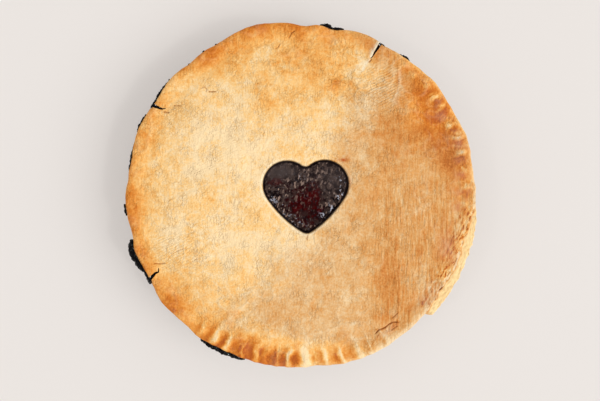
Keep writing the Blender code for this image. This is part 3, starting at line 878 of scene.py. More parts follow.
@dataclass(frozen=True)
class Heart:
    """The heart-shaped hole: two round lobes, slightly bulging sides, a round tip and a round cleft."""

    width: float = 0.0617
    height: float = 0.0524
    lobe_radius: float = 0.0175
    side_radius: float = 0.08
    tip_radius: float = 0.007
    cleft_radius: float = 0.0045
    top: Pair = (0.0038, 0.0253)
    middle: float = 0.02
    lean: float = 1.2
    arc_points: int = 60
    measured_points: int = 360

    def centre(self) -> Array:
        """The point that the outline is seen from."""
        return np.array(self.top) - (0.0, self.middle)

    def half(self) -> Array:
        """Draws the right half of the outline, with its top at height 0.

        Returns:
            Points from the tip up to the cleft.
        """
        lobe = np.array((self.width / 2 - self.lobe_radius, -self.lobe_radius))
        tip = np.array((0.0, self.tip_radius - self.height))
        rise = sqrt((self.lobe_radius + self.cleft_radius) ** 2 - lobe[0] ** 2)
        cleft = np.array((0.0, lobe[1] + rise))
        side = self.side_centre(lobe, tip)
        low, high = (turn_from(bearing((end - side)[None, :])[0], 0.0) for end in (tip, lobe))
        notch = bearing((cleft - lobe)[None, :])[0]
        steps = self.arc_points
        return np.concatenate(
            [
                tip + self.tip_radius * unit(np.linspace(-90, low, steps)),
                side + self.side_radius * unit(np.linspace(low, high, steps)),
                lobe + self.lobe_radius * unit(np.linspace(high, notch, steps)),
                cleft + self.cleft_radius * unit(np.linspace(notch - 180, -90, steps)),
            ]
        )

    def side_centre(self, lobe: Array, tip: Array) -> Array:
        """Finds the middle of a bulging side's arc, which touches the round lobe and tip from outside.

        Args:
            lobe: Middle of the lobe.
            tip: Middle of the tip.

        Returns:
            Middle of the side's arc.
        """
        axis = lobe - tip
        length = hypot(*axis)
        from_tip, from_lobe = self.side_radius - self.tip_radius, self.side_radius - self.lobe_radius
        along = (from_tip**2 - from_lobe**2 + length**2) / (2 * length)
        ahead = axis / length
        return tip + ahead * along + np.array((-ahead[1], ahead[0])) * sqrt(from_tip**2 - along**2)

    def outline(self, count: int) -> tuple[Array, Array]:
        """Draws the outline counter-clockwise with even steps, from the point level with its middle.

        Args:
            count: How many points.

        Returns:
            The points and the directions straight out of the outline at each.
        """
        half = self.half()
        loop = np.concatenate([half, half[::-1] * (-1, 1)])
        turned = loop + (0.0, self.middle)
        lean = radians(self.lean)
        spin = np.array(((cos(lean), sin(lean)), (-sin(lean), cos(lean))))
        points = turned @ spin + self.centre()
        away = turn_from(bearing(points - self.centre()), 0.0)
        points = np.roll(points, -int(np.argmin(np.abs(away))), axis=0)
        closed = np.concatenate([points, points[:1]])
        places = np.concatenate([[0.0], np.cumsum(np.linalg.norm(np.diff(closed, axis=0), axis=1))])
        drawn = np.arange(count) / count * places[-1]
        even = np.stack([np.interp(drawn, places, closed[:, k]) for k in range(2)], axis=1)
        ahead = np.roll(even, -2, axis=0) - np.roll(even, 2, axis=0)
        out = np.stack([ahead[:, 1], -ahead[:, 0]], axis=1)
        return even, out / np.linalg.norm(out, axis=1, keepdims=True)

    def outset(self, points: Array) -> Array:
        """Measures how far points lie outside the outline.

        Args:
            points: Rows of coordinates.

        Returns:
            The distances, less than 0 inside the outline.
        """
        outline, out = self.outline(self.measured_points)
        result = np.empty(len(points))
        for start in range(0, len(points), CHUNK):
            away = points[start : start + CHUNK, None, :2] - outline[None, :, :]
            squares = np.einsum("ijk,ijk->ij", away, away)
            nearest = np.argmin(squares, axis=1)
            rows = np.arange(len(nearest))
            result[start : start + CHUNK] = np.einsum("ij,ij->i", away[rows, nearest], out[nearest])
        return result


# The lid


@dataclass(frozen=True)
class Swell:
    """A stretch where the lid's edge stands out, or in if the amount is negative."""

    angle: float
    spread: float
    amount: float


@dataclass(frozen=True)
class Ridge:
    """One ridge of a crimp: its angle, how strong its painted highlight is (with painted shade beside it,
    and darker where negative), and its width.
    """

    angle: float
    pale: float
    wide: float = 1.0


@dataclass(frozen=True)
class Crimp:
    """A row of pinched ridges: their width in degrees, their height, and how far in they lie."""

    ridges: tuple[Ridge, ...]
    width: float
    height: float
    inset: float
    reach: float

    def share(self, angles: Array) -> Array:
        """1 on the wide ridges and 0 between them."""
        raised = (ridge for ridge in self.ridges if ridge.wide >= 0.5)
        return sum(bell(turn_from(angles, ridge.angle) / self.width) for ridge in raised)

    def tone(self, angles: Array, inset: Array) -> Array:
        """Painted light on the crimps: a painted highlight on each ridge, and painted shade in the dip
        beside it.

        Args:
            angles: Bearings of points.
            inset: How far in from the edge they lie.

        Returns:
            The tone at each point.
        """
        tone = np.zeros(len(angles))
        for ridge in self.ridges:
            turn = turn_from(angles, ridge.angle) / (self.width * ridge.wide)
            tone += ridge.pale * (bell(turn / 0.6) - 0.4 * bell((turn + 1.3) / 0.7))
        return tone * bell((inset - self.inset) / self.reach)


@dataclass(frozen=True)
class Stretch:
    """A stretch of the rim, in degrees, that starts sharply and fades out slowly."""

    start: float
    full: float
    fade: float
    end: float

    def share(self, angles: Array) -> Array:
        """1 along the stretch and 0 away from it."""
        along = (angles - self.start) % 360
        rise = smooth_step(along / (self.full - self.start))
        return rise * smooth_step((self.end - self.start - along) / (self.end - self.fade))


@dataclass(frozen=True)
class Patch:
    """A soft spot of browning: where it is, how wide, how strong, and how it leans."""

    x: float
    y: float
    spread_x: float
    spread_y: float
    amount: float
    lean: float = 0.0

    def over(self, points: Array) -> Array:
        """The patch's share at points."""
        away = points[:, :2] - (self.x, self.y)
        along = away @ unit(self.lean)
        across = away @ unit(self.lean + 90)
        return self.amount * bell(np.hypot(along / self.spread_x, across / self.spread_y))


Patches = tuple[Patch, ...]


def spots(*rows: tuple[float, ...]) -> Patches:
    """Patches from rows of x, y and two spreads in mm, an amount in per cent and, in some, a lean."""
    return tuple(Patch(*(part / 1000 for part in row[:4]), row[4] / 100, *row[5:]) for row in rows)


def covered(points: Array, patches: Iterable[Patch]) -> Array:
    """Sum of soft patches at points, kept between 0 and 1."""
    return np.clip(sum(patch.over(points) for patch in patches), 0.0, 1.0)


@dataclass(frozen=True)
class RimTone:
    """Browning along the edge: its angle, spread in degrees, strength, width and how far in it lies."""

    angle: float
    spread: float
    amount: float
    width: float
    inset: float = 0.0

    def over(self, angles: Array, inset: Array) -> Array:
        """The tone's share at angles and insets, full between its own inset and the edge."""
        beyond = np.maximum(inset - self.inset, 0.0) / self.width
        return self.amount * bell(turn_from(angles, self.angle) / self.spread) * bell(beyond)


@dataclass(frozen=True)
class Slit:
    """A tear that runs in from the edge through points (radius, angle) and narrows to its end."""

    width: float
    course: tuple[Pair, ...]
    gape: tuple[Pair, ...] = ((0.0, 1.5), (0.45, 1.15), (1.0, 0.28))

    def points(self) -> Array:
        """The course as rows of x and y."""
        return np.array([unit(angle) * radius for radius, angle in self.course])

    def half_width(self, along: Array) -> Array:
        """Half of how far the slit gapes at places along it, from 0 to 1."""
        return self.width / 2 * np.interp(along, *zip(*self.gape))


@dataclass(frozen=True)
class Crack:
    """A thin crack, or a fold where the depth is negative, through points (x, y)."""

    width: float
    depth: float
    tone: float
    course: tuple[Pair, ...]


@dataclass(frozen=True)
class Wrinkles:
    """A soft spot of fine parallel wrinkles, which lean by an angle."""

    x: float
    y: float
    spread: float
    lean: float
    pitch: float
    height: float
    bend: Grain = Grain(0.0012, 0.008, 2.2)

    def over(self, flat: Array) -> Array:
        """Height of the wrinkles at points.

        Args:
            flat: Rows of x and y.

        Returns:
            The heights, less than 0 between two wrinkles.
        """
        away = flat - (self.x, self.y)
        across = away @ unit(self.lean + 90) + self.bend.over(flat)
        share = bell(np.linalg.norm(away, axis=1) / self.spread)
        return self.height * share * np.sin(2 * pi * across / self.pitch)


@dataclass(frozen=True)
class Lid:
    """The top crust: one sheet, domed, with a heart cut out and its edge rolled down."""

    heart: Heart
    band: Stretch
    thickness: float = 0.0036
    radius: float = 0.1248
    rim_under: float = 0.0376
    dome_radius: float = 0.112
    dome_rise: float = 0.0066
    dome_power: float = 3.0
    # Out from the heart's outline, and the share of the way from the underside to the top
    hole_wall: tuple[Pair, ...] = (
        (-0.0011, 0.02), (-0.001, 0.25), (-0.0006, 0.5), (-0.0001, 0.72), (0.0002, 0.87), (0.0006, 0.96),
        (0.0011, 1.0),
    )
    roll_width: float = 0.0042
    roll_drop: float = 0.0023
    roll_kept: float = 0.7
    undercut: float = 0.0015
    # Share of the undercut, and of the roll's drop, of the rings below the rolled edge
    lips_below: tuple[Pair, ...] = ((0.45, 0.28), (1.0, 0.0))
    under_inset: float = 0.002
    blister: Grain = Grain(0.0009, 0.022)
    scallop: float = 0.0004
    ridge_bend: Grain = Grain(1.3, 0.006, 4.4)
    edge_wander: Grain = Grain(0.00035, 0.0045)
    torn_edge: Grain = Grain(0.0014, 0.0048, 6.0)
    wander_reach: float = 0.003
    segments: int = 400
    field_rings: int = 86
    rim_inset: float = 0.014
    rim_rings: int = 14
    roll_rings: int = 8
    under_rings: int = 8
    fine_beyond: float = 0.07
    fine_by_tears: float = 0.002
    crumple: Grain = Grain(0.0003, 0.01, 3.1)
    valleys: Grain = Grain(0.0003, 0.0056, 7.7)
    grit: Grain = Grain(0.0001, 0.0026, 11.3)
    streaks: Grain = Grain(0.00022, 1.0, 5.5)
    streak_sizes: Pair = (0.0026, 0.018)
    shreds: Grain = Grain(0.00055, 0.0034, 6.1)
    vein_height: float = 0.00034
    flap_height: float = 0.0007
    ragged: Pair = (0.0007, 0.00045)
    crack_ragged: Pair = (0.0008, 0.0004)
    crack_ends: float = 0.15
    crack_lip: float = 0.16
    brown_level: float = 0.338
    brown_rise: float = 0.175
    pale_by_heart: float = 0.14
    swells: tuple[Swell, ...] = table(
        Swell,
        (0, 5, 0.0012), (19, 6, 0.0018), (39, 5, 0.0013), (53, 4, -0.0009), (60, 3, -0.0015),
        (79, 5, -0.0033), (89, 4, -0.0028), (106, 7, 0.0022), (119, 3, -0.0006), (130, 3, -0.0012),
        (138, 6, 0.0008), (147, 3, -0.0008), (158, 6, 0.0012), (168, 3, -0.0006), (175, 3, -0.0009),
        (181, 6, 0.0013), (193, 3, -0.0008), (199, 3, 0.0011), (208, 5, -0.0008), (218, 4, 0.0012),
        (229, 4, -0.0005), (234, 3, 0.0008), (249, 12, -0.0009), (270, 12, -0.0014), (276, 4, -0.001),
        (305, 4, -0.0008), (313, 3, -0.0009), (326, 9, -0.0036), (344, 9, -0.0036),
    )
    pinches: Crimp = Crimp(
        table(
            Ridge,
            (-2.8, 0.4), (2.7, 0.9), (5.2, 0.5, 0.4), (8.2, 0.8), (9.6, 0.8, 0.4), (14.7, 1.5),
            (17.0, 0.5, 0.4), (20.2, 1.6), (22.0, 0.9, 0.4), (25.2, 0.8), (30.2, -0.5), (31.6, 1.1, 0.5),
            (35.7, 1.3), (37.2, 0.6, 0.4), (41.2, 0.4), (46.7, 0.5), (52.2, 0.4),
        ),
        width=1.3,
        height=0.0009,
        inset=0.0072,
        reach=0.0034,
    )
    folds: Crimp = Crimp(
        table(
            Ridge,
            (233.5, 0.7), (239.0, 1.3, 1.2), (243.8, 1.4), (248.8, -0.9, 0.45), (249.5, 0.5),
            (250.3, -0.8, 0.4), (254.6, 0.9), (256.0, -0.9, 0.45), (258.0, 0.2), (261.0, -0.9, 0.45),
            (261.8, 0.8), (266.1, 1.6, 1.1), (271.8, 2.0, 1.8), (274.6, 0.5, 0.45), (279.0, 1.1),
            (284.6, 1.2), (285.3, -0.5, 0.4), (290.2, 1.0, 1.4), (294.5, 0.7, 0.5), (301.0, 0.6, 0.5),
        ),
        width=1.3,
        height=0.0012,
        inset=0.0064,
        reach=0.0072,
    )
    slits: tuple[Slit, ...] = table(
        Slit,
        (0.002, ((0.1237, 148.8), (0.1168, 148.0), (0.115, 147.2))),
        (0.002, ((0.1235, 209.7), (0.1184, 208.1), (0.1154, 208.4), (0.1144, 207.1))),
        (0.0015, ((0.1212, 62.2), (0.115, 62.5), (0.1102, 62.8))),
    )
    lifted_slit: int = 2
    cracks: tuple[Crack, ...] = table(
        Crack,
        (0.00042, 0.0007, 0.8, (
            (-0.0036, 0.118), (-0.0064, 0.1165), (-0.0072, 0.1146), (-0.0086, 0.1121),
        )),
        (0.00035, 0.0005, 0.45, ((-0.015, 0.1085), (-0.0158, 0.1063), (-0.0168, 0.1053), (-0.0186, 0.105))),
        (0.0004, 0.0007, 0.8, ((-0.0662, 0.0744), (-0.063, 0.0739), (-0.0599, 0.0741))),
        (0.0003, 0.0005, 0.5, ((-0.0715, 0.0765), (-0.0685, 0.0775), (-0.0668, 0.0755), (-0.068, 0.0735))),
        (0.0004, 0.0007, 0.75, ((-0.0982, 0.0598), (-0.0938, 0.0593))),
        (0.00038, 0.0006, 0.6, ((-0.0916, 0.0644), (-0.0886, 0.0646), (-0.0856, 0.0641))),
        (0.00038, 0.0007, 0.6, ((-0.1058, -0.0488), (-0.101, -0.0488), (-0.0963, -0.0485))),
        (0.00028, 0.0005, 0.12, ((-0.0963, -0.0485), (-0.093, -0.043), (-0.086, -0.0385), (-0.08, -0.037))),
        (0.00028, 0.0005, 0.15, ((-0.079, -0.048), (-0.074, -0.045), (-0.07, -0.0425))),
        (0.0004, 0.0007, 0.75, ((0.051, 0.098), (0.0485, 0.0951))),
        (0.00045, 0.001, 0.85, (
            (0.0526, -0.0997), (0.0562, -0.0963), (0.0605, -0.0945), (0.063, -0.0924), (0.0659, -0.0909),
            (0.0709, -0.0909),
        )),
        (0.0004, 0.0006, 0.5, ((0.0698, -0.0931), (0.0669, -0.0949), (0.0641, -0.097))),
        (0.0004, 0.0006, 0.5, ((0.0652, -0.0884), (0.0677, -0.0856), (0.0698, -0.0838))),
        (0.00045, -0.0003, 0.0, ((0.0422, -0.1027), (0.0469, -0.1013), (0.051, -0.1008))),
        (0.0005, 0.0005, 0.9, ((0.099, -0.0684), (0.1015, -0.0655))),
        (0.0005, 0.0003, 0.75, ((0.1046, -0.058), (0.1074, -0.0542))),
        (0.0005, 0.0003, 0.7, ((0.1107, -0.0481), (0.1122, -0.0444))),
        (0.00045, 0.0003, 0.6, ((0.118, -0.0246), (0.119, -0.0218))),
        (0.00032, 0.0006, 0.55, ((0.0047, -0.0276), (0.0045, -0.032))),
        (0.0008, -0.0003, 0.0, ((0.07, 0.096), (0.0705, 0.078), (0.0665, 0.06))),
    )
    crinkles: Patches = spots((56, -101, 13, 4, 60, 27), (70, -88, 6, 5, 50))
    hatches: Patches = spots(
        (60, 79, 15, 13, 100, 25), (-60, 30, 20, 12, 30, 25), (-90, -40, 16, 12, 50, 25),
    )
    agates: Patches = spots(
        (37, 102.7, 12, 10, 100), (30, 85, 18, 16, 60), (-88, -38, 22, 16, 70), (-65, -25, 20, 14, 50),
        (60, -50, 20, 20, 30),
    )
    blushes: Patches = spots(
        (99.9, 57.6, 4, 4, 60), (112.8, 37.6, 4, 4, 60), (113.5, 25.4, 4, 3, 50), (114.9, 14.7, 4, 3, 60),
        (114.2, 2.5, 4, 3, 50), (112.8, -8.2, 4, 4, 50), (104.9, -35.4, 7, 9, 50), (109.2, -46.2, 5, 6, 40),
        (98.5, -67.7, 6, 5, 40), (89.1, -74.8, 6, 5, 40), (63, -96.5, 6, 2.5, 40, 35),
        (-38.3, -109.2, 3, 4, 25), (-16.8, -114.9, 3, 4, 25),
    )
    crackles: Patches = spots(
        (52, 68, 28, 20, 100, -30), (25, 85, 18, 12, 70), (-85, -45, 22, 14, 80), (-90, 55, 20, 16, 70),
        (-50, -85, 24, 14, 60), (-6, 100, 22, 12, 60),
    )
    vein_patches: Patches = spots(
        (60, 75, 28, 24, 100), (-85, -45, 24, 18, 90), (-50, -85, 24, 14, 90), (-70, -25, 16, 14, 60),
        (90, -40, 14, 30, 70),
    )
    tan_patches: Patches = spots(
        (95, 60, 24, 26, -90, -35), (30, 90, 30, 16, -40), (4, -113, 50, 12, -100), (118, 10, 9, 34, -60),
        (86, 92, 22, 10, -80, -40), (-8, -66, 34, 38, 50), (-24, -94, 34, 24, 45), (-78, -62, 34, 30, 28),
        (52, -15, 24, 26, 30), (20, 107, 12, 8, 40), (55, 85, 16, 14, -30), (-11, -42, 14, 12, 30),
        (109, -48, 9, 34, -60, -25),
    )
    wrinkles: tuple[Wrinkles, ...] = table(
        Wrinkles,
        (0.06, 0.079, 0.015, 25, 0.002, 0.00013),
        (0.037, 0.1027, 0.0095, -12, 0.002, 0.00012),
        (0.093, 0.018, 0.016, 80, 0.0022, 0.00009),
        (-0.096, -0.033, 0.014, 15, 0.0026, 0.0001),
        (0.09, -0.03, 0.024, 88, 0.0021, 0.00013),
        (0.056, -0.08, 0.02, 80, 0.0023, 0.0001),
    )
    pale_strokes: Patches = spots(
        (46.8, 94, 5.5, 0.9, 80, 57), (44.8, 90.3, 1, 1.6, 60, 10), (42, 93, 4, 0.8, 50, 40),
        (71, 85, 6, 1, 26, 88), (68.4, 71.5, 7, 1, 28, 74),
    )
    stains: Patches = spots(
        (30.4, 25, 1.1, 1, 100), (29.6, 25.3, 4.2, 1.2, 55), (33, 26.2, 1.8, 3, 25),
        (35, 10.3, 1.2, 3.2, 40), (69.4, 83, 4, 0.6, 30, 90),
    )
    patches: Patches = spots(
        (28, 76, 12, 12, -6), (44, 66, 12, 10, -10), (62, 68, 10, 12, -8), (64, 50, 8, 10, -4),
        (100, -25, 18, 35, 8), (8, -114, 6, 5, 25), (-11, -119, 5, 4, 20), (42.6, -110.6, 5, 5, 16),
        (0, -80, 5, 8, 14), (-25, -68, 8, 9, 10), (96, 55, 8, 4, 16), (113, 38, 4, 10, 16),
        (117, 21, 4, 6, 16), (62.6, 54, 6, 5, 16), (80, -82, 6, 7, 14), (103, -57, 7, 6, 16),
        (118, -25, 4, 7, 14), (-77, -48, 14, 6, 12), (25, 25, 6, 5, 14), (-98, 77, 8, 8, -14),
        (-115, 52, 5, 7, -14), (-86, 86, 8, 5, -12), (-66, 101, 8, 5, -12), (-100, -75, 8, 6, -14),
        (-79, -68, 6, 5, -14), (-18, 43, 9, 6, -14), (-54, 22, 10, 6, -12), (-54, -19, 8, 7, -12),
        (-25, -32, 7, 12, -10), (-4, -58, 6, 6, -12), (21, -60, 6, 6, -10), (-23, -83, 5, 6, -16),
        (44, 91, 2.5, 6, -12, -35), (14, 90, 4, 12, 14, -20), (109, 64, 6, 10, 14), (-66, 99, 7, 5, 18, 35),
        (-27, 68, 6, 9, 10), (47.8, 106.5, 4, 5, 20), (61.5, -21, 1.5, 14, 24), (65, -59, 8, 8, 12),
        (57, -16, 1.2, 10, -14), (83, -30, 1.4, 12, -14), (-5, 60, 22, 16, -6), (-80, 40, 14, 12, -6),
        (-38, 95, 5, 9, 12), (0, -42, 10, 10, -8), (2, -78, 8, 10, -8), (100, -56, 9, 8, -16),
        (103, -18, 8, 14, -6), (-110, 62, 6, 6, -10), (-55, 60, 10, 8, -6), (18, 55, 10, 8, -10),
        (36, 30, 8, 6, -10), (-78, -50, 10, 8, -8), (-26, -56, 6, 16, -8), (-36, 12, 6, 8, -6),
        (-59.8, 45.5, 22, 18, -10), (-97, -28.3, 14, 14, -10), (-50.5, -31.9, 20, 16, -8),
        (44, 99, 5, 9, -18), (90.6, -46.2, 3, 16, -22, -15), (42.6, -92.7, 10, 8, -10),
        (4.7, -103.5, 4, 10, -15), (-106.3, -48.3, 8, 8, -10), (12.5, 39.7, 18, 9, -30),
        (-36.2, 32.6, 10, 8, -22), (-18.3, -34, 20, 7, -20), (-11.1, 52.6, 12, 7, -15),
        (18.3, 66.9, 6, 12, -18), (40.5, 85.6, 9, 8, -20), (44, 59.8, 8, 14, -14),
        (37.6, -71.2, 12, 10, -14), (36.9, -40.5, 8, 16, -10), (78.4, -61.9, 8, 7, -16),
        (110.6, -12.5, 6, 10, -20), (56.9, 86.3, 10, 14, -20), (92.7, 55.5, 18, 26, 34, -35),
        (64.1, 43.3, 13, 14, 16), (67.7, -64.1, 16, 12, 15), (74.8, -24.7, 14, 16, 8),
        (-0.4, 107.8, 10, 16, 10), (24.7, 79.1, 14, 14, 12), (-89.9, -67.7, 14, 12, 12),
        (-64.8, -6.8, 10, 8, 8), (-85, 27, 6, 7, 16), (-75, 17, 8, 7, -16), (-50, 22, 20, 10, -10),
        (-43, 63, 9, 10, -12), (-48, -42, 10, 16, -10), (27, 62, 10, 10, -14), (22, 40, 7, 10, -10),
        (43, 25, 7, 9, -14), (74, 13, 6, 14, -12, -20), (46, -69, 8, 10, -16), (12, -35, 16, 6, -12),
        (115.6, -3.2, 10, 30, 14), (36.2, 79.1, 4, 5, 22), (24.7, 79.1, 3, 4, 30), (-21.8, 64.8, 6, 7, 25),
        (-7.5, 93.4, 20, 16, 16), (-39.7, 6.8, 5, 6, 14), (-72, -59.1, 12, 10, 14),
        (-54.1, -71.2, 14, 7, 12), (-7.5, -78.4, 18, 10, 14), (56.9, -86.3, 8, 6, 20),
        (62.6, -47.6, 8, 22, 10), (99.9, -35.4, 10, 14, 14), (69.8, 25.4, 8, 8, 12),
        (104.2, 32.6, 8, 14, 35), (84.1, 74.1, 7, 7, 22), (-47, 96, 8, 12, 16), (-30, 114, 12, 6, 18),
        (-79, 86, 10, 8, 16), (-97, 70, 14, 14, 8), (-87, 24, 7, 7, 12), (-108, -4, 8, 10, 16),
        (-111, -41, 7, 10, 16), (-90, -72, 10, 10, 10), (-49, -83, 9, 7, 16), (-19, -89, 9, 8, 14),
        (-58, -106, 12, 5, 14), (-17, -118, 10, 5, 16), (43, 109, 6, 5, 18), (56, 101, 5, 6, 16),
        (13, 96, 4, 14, 12), (-26, 79, 8, 6, 10), (76, -40, 10, 8, 14), (90, -48, 6, 8, 12),
        (66, -76, 8, 6, 12), (93, 29, 5, 7, 12), (107, -6, 6, 8, 14), (-18.5, 47, 6, 5, -14),
        (-33, 25, 9, 8, -12), (-55, 1, 7, 12, -12), (38, -50, 8, 6, -14), (3, -110, 6, 5, -22),
        (-40, 97, 5, 10, 16), (-60, 90, 6, 8, 14), (-25, 50, 6, 8, 14, 50), (-14, 62, 8, 5, 12, 40),
        (-9, 108, 5, 6, 14), (-27, 78, 8, 6, 12), (-91, 54, 12, 6, 10, -20), (-70, -8, 6, 8, 12),
        (-86, -54, 6, 12, 14), (-68, -87, 7, 6, 20, -40), (-48, -86, 6, 8, 14, -50), (-20, -96, 8, 14, 14),
        (-2, -106, 6, 6, 22), (-63, -110, 12, 4, 16, -30), (50, 6, 6, 6, 14), (32, 24, 7, 5, 16),
        (71, 88, 5, 6, 18), (88, 75, 4, 9, 14, 20), (77, 68, 5, 8, 12), (95, 56, 7, 5, 14, -20),
        (106, 20, 12, 6, 12), (102, -44, 8, 6, 14), (96, -58, 5, 10, 14), (62, -78, 6, 5, 14),
        (-72, 85, 5, 5, -20), (-104, 72, 5, 8, -12), (-116, 50, 5, 8, -14), (-118, 28, 5, 8, -10),
        (-106, -30, 8, 8, -12), (-76, 13, 8, 6, -12), (-62, 17, 10, 5, -10, 20), (-61, 50, 6, 6, -12),
        (-20, 36, 6, 6, -10), (-43, 44, 10, 8, -10), (36, 97, 6, 8, -10), (35, 49, 6, 8, -10),
        (58, 109, 5, 4, -26), (108, 55, 5, 6, -16), (96, -31, 5, 4, -14), (64, -35, 4, 10, -12),
        (20, -90, 12, 5, -14), (-58, -99, 10, 4, -14), (-100, -68, 5, 7, -16, -50),
    )
    # Rows with a negative amount, all on the right and lower right where the key light falls, are a painted
    # highlight that makes the edge paler; the others are browning.
    rim_tones: tuple[RimTone, ...] = table(
        RimTone,
        (170, 90, 0.13, 0.02), (36, 22, 0.22, 0.022), (20, 9, 0.16, 0.01), (27, 9, -0.1, 0.004),
        (62, 8, 0.14, 0.01), (80, 6, 0.22, 0.01), (91, 7, 0.5, 0.009), (104, 8, 0.7, 0.01),
        (121, 8, 0.62, 0.012, 0.003), (133, 7, 0.3, 0.01), (145, 8, 0.25, 0.01),
        (158, 9, 0.5, 0.011, 0.003), (172, 8, 0.24, 0.008), (186, 9, 0.66, 0.011, 0.003),
        (202, 8, 0.52, 0.01, 0.002), (219, 8, 0.66, 0.012, 0.003), (230, 6, 0.3, 0.009, 0.002),
        (239, 7, 0.6, 0.012, 0.003), (251, 7, 0.8, 0.011, 0.007), (261, 6, 0.6, 0.008, 0.005),
        (270, 6, 0.34, 0.009, 0.002), (283, 8, 0.32, 0.01, 0.002), (290, 26, -0.34, 0.003),
        (309, 8, 0.16, 0.012, 0.006), (307, 13, -0.34, 0.0075), (0, 10, 0.18, 0.014),
        (358, 9, -0.24, 0.004), (334, 17, -0.32, 0.0024), (8, 26, -0.42, 0.0016), (45, 20, -0.24, 0.0014),
    )

    def edge(self, angles: Array) -> Array:
        """Radius of the lid's edge at angles."""
        radius = np.full(len(angles), self.radius)
        for swell in self.swells:
            radius += swell.amount * bell(turn_from(angles, swell.angle) / swell.spread)
        return radius + self.scallop * (self.pinches.share(angles) + self.folds.share(angles))

    def drawn_edge(self, angles: Array) -> Array:
        """Radius of the edge with its small unevenness, torn where the bottom crust shows."""
        rim = unit(angles) * self.radius
        torn = self.torn_edge.over(rim, self.band.share(angles))
        return self.edge(angles) + self.edge_wander.over(rim) + torn

    def inset(self, points: Array) -> Array:
        """How far points lie inside the lid's edge."""
        return self.edge(bearing(points)) - np.hypot(points[:, 0], points[:, 1])

    def under(self, points: Array) -> Array:
        """Height of the lid's underside over points."""
        share = np.minimum(np.hypot(points[:, 0], points[:, 1]) / self.dome_radius, 1.0)
        return self.rim_under + self.dome_rise * (1 - share**self.dome_power)

    def bent(self, points: Array) -> Array:
        """Bearings of points, moved about a little so that the ridges don't run dead straight."""
        return bearing(points) + self.ridge_bend.over(points[:, :2])

    def crimp_shading(self, points: Array) -> Array:
        """Painted highlight on the crimps' ridges and painted shade in the dips beside them."""
        angles, inset = self.bent(points), self.inset(points)
        return self.pinches.tone(angles, inset) + self.folds.tone(angles, inset)

    def tan(self, points: Array) -> Array:
        """1 where the crust is dull tan and 0 where it's vivid."""
        share = smooth_step((points[:, 0] - 0.2 * points[:, 1] + 0.012) / 0.06)
        return np.clip(share + sum(patch.over(points) for patch in self.tan_patches), 0.0, 1.0)

    def top(self, points: Array) -> Array:
        """Finds the height of the upper side, without its rolled edge and its fine relief.

        Args:
            points: Rows of coordinates.

        Returns:
            The height over each point.
        """
        angles, inset = self.bent(points), self.inset(points)
        blister = self.blister.over(points[:, :2])
        height = self.under(points) + self.thickness + blister * smooth_step(inset / self.blister.size)
        for crimp in (self.pinches, self.folds):
            height += crimp.height * crimp.share(angles) * bell((inset - crimp.inset) / crimp.reach)
        return height

    def section(self) -> Array:
        """Places the closed way round the lid's section, from the heart's lower edge over the top and back.

        Returns:
            A ring of points for each station, all with as many points.
        """
        angles = np.arange(self.segments) * 360 / self.segments
        hole, out = self.heart.outline(self.segments)
        rings = []
        for outset, share in self.hole_wall:
            flat = hole + out * outset
            low, high = self.under(flat), self.top(flat)
            rings.append((flat, low + (high - low) * share))
        above, below = (hole + out * self.hole_wall[end][0] for end in (-1, 0))
        for i in range(1, self.field_rings):
            flat = self.between(angles, above, self.rim_inset, i / self.field_rings)
            rings.append((flat, self.top(flat)))
        rim = np.linspace(self.rim_inset, self.roll_width, self.rim_rings, endpoint=False)
        edges = [(inset, 0.0) for inset in rim]
        for turn in np.linspace(0, 90, self.roll_rings):
            inset = self.roll_width * (1 - sin(radians(turn)))
            edges.append((inset, self.roll_drop * (1 - cos(radians(turn)))))
        for inset, drop in edges:
            flat = self.edge_line(angles, inset)
            rings.append((flat, self.top(flat) - drop * (1 - self.roll_kept * self.band.share(angles))))
        for inset_share, rise_share in self.lips_below:
            flat = self.edge_line(angles, self.undercut * inset_share)
            rings.append((flat, np.full(len(flat), self.rim_under + self.roll_drop * rise_share)))
        for i in range(self.under_rings):
            flat = self.between(angles, below, self.undercut + self.under_inset, 1 - i / self.under_rings)
            rings.append((flat, self.under(flat)))
        return np.stack([np.column_stack(ring) for ring in rings])

    def between(self, angles: Array, near: Array, inset: float, share: float) -> Array:
        """Points a share of the way from the hole's outline to an inset from the lid's edge."""
        far = unit(angles) * (self.edge(angles) - inset)[:, None]
        return near + (far - near) * share

    def edge_line(self, angles: Array, inset: float) -> Array:
        """Points along the lid's uneven edge, at an inset."""
        wander = (self.drawn_edge(angles) - self.edge(angles)) * bell(inset / self.wander_reach)
        return unit(angles) * (self.edge(angles) - inset + wander)[:, None]

    def shell(self) -> Piece:
        """Makes the lid's closed sheet: a ring primitive whose every loop is moved to its station.

        Returns:
            The sheet.
        """
        placed = self.section()
        count = len(placed)
        bpy.ops.mesh.primitive_torus_add(
            major_segments=self.segments, minor_segments=count, major_radius=1.0, minor_radius=0.25
        )
        obj = name_piece("lid")
        points = read_points(obj)
        reach = np.hypot(points[:, 0], points[:, 1]) - 1.0
        around = np.degrees(np.arctan2(points[:, 2], reach)) % 360
        ring = (count // 2 - np.rint(around / 360 * count).astype(int)) % count
        column = np.rint(bearing(points) / 360 * self.segments).astype(int) % self.segments
        write_points(obj, placed[ring, column])
        return obj

    def near_tear(self, points: Array) -> Array:
        """Says which points of the upper side lie near a slit or a crack.

        Args:
            points: Rows of coordinates.

        Returns:
            True or False for each point.
        """
        near = np.zeros(len(points), dtype=bool)
        courses = [slit.points() for slit in self.slits] + [np.array(crack.course) for crack in self.cracks]
        for course in courses:
            inside = in_box(points, course, self.fine_by_tears)
            distance, _ = distance_to_course(points[inside, :2], course)
            near[inside] |= np.abs(distance) < self.fine_by_tears
        return near & (points[:, 2] > self.rim_under + self.thickness / 2)

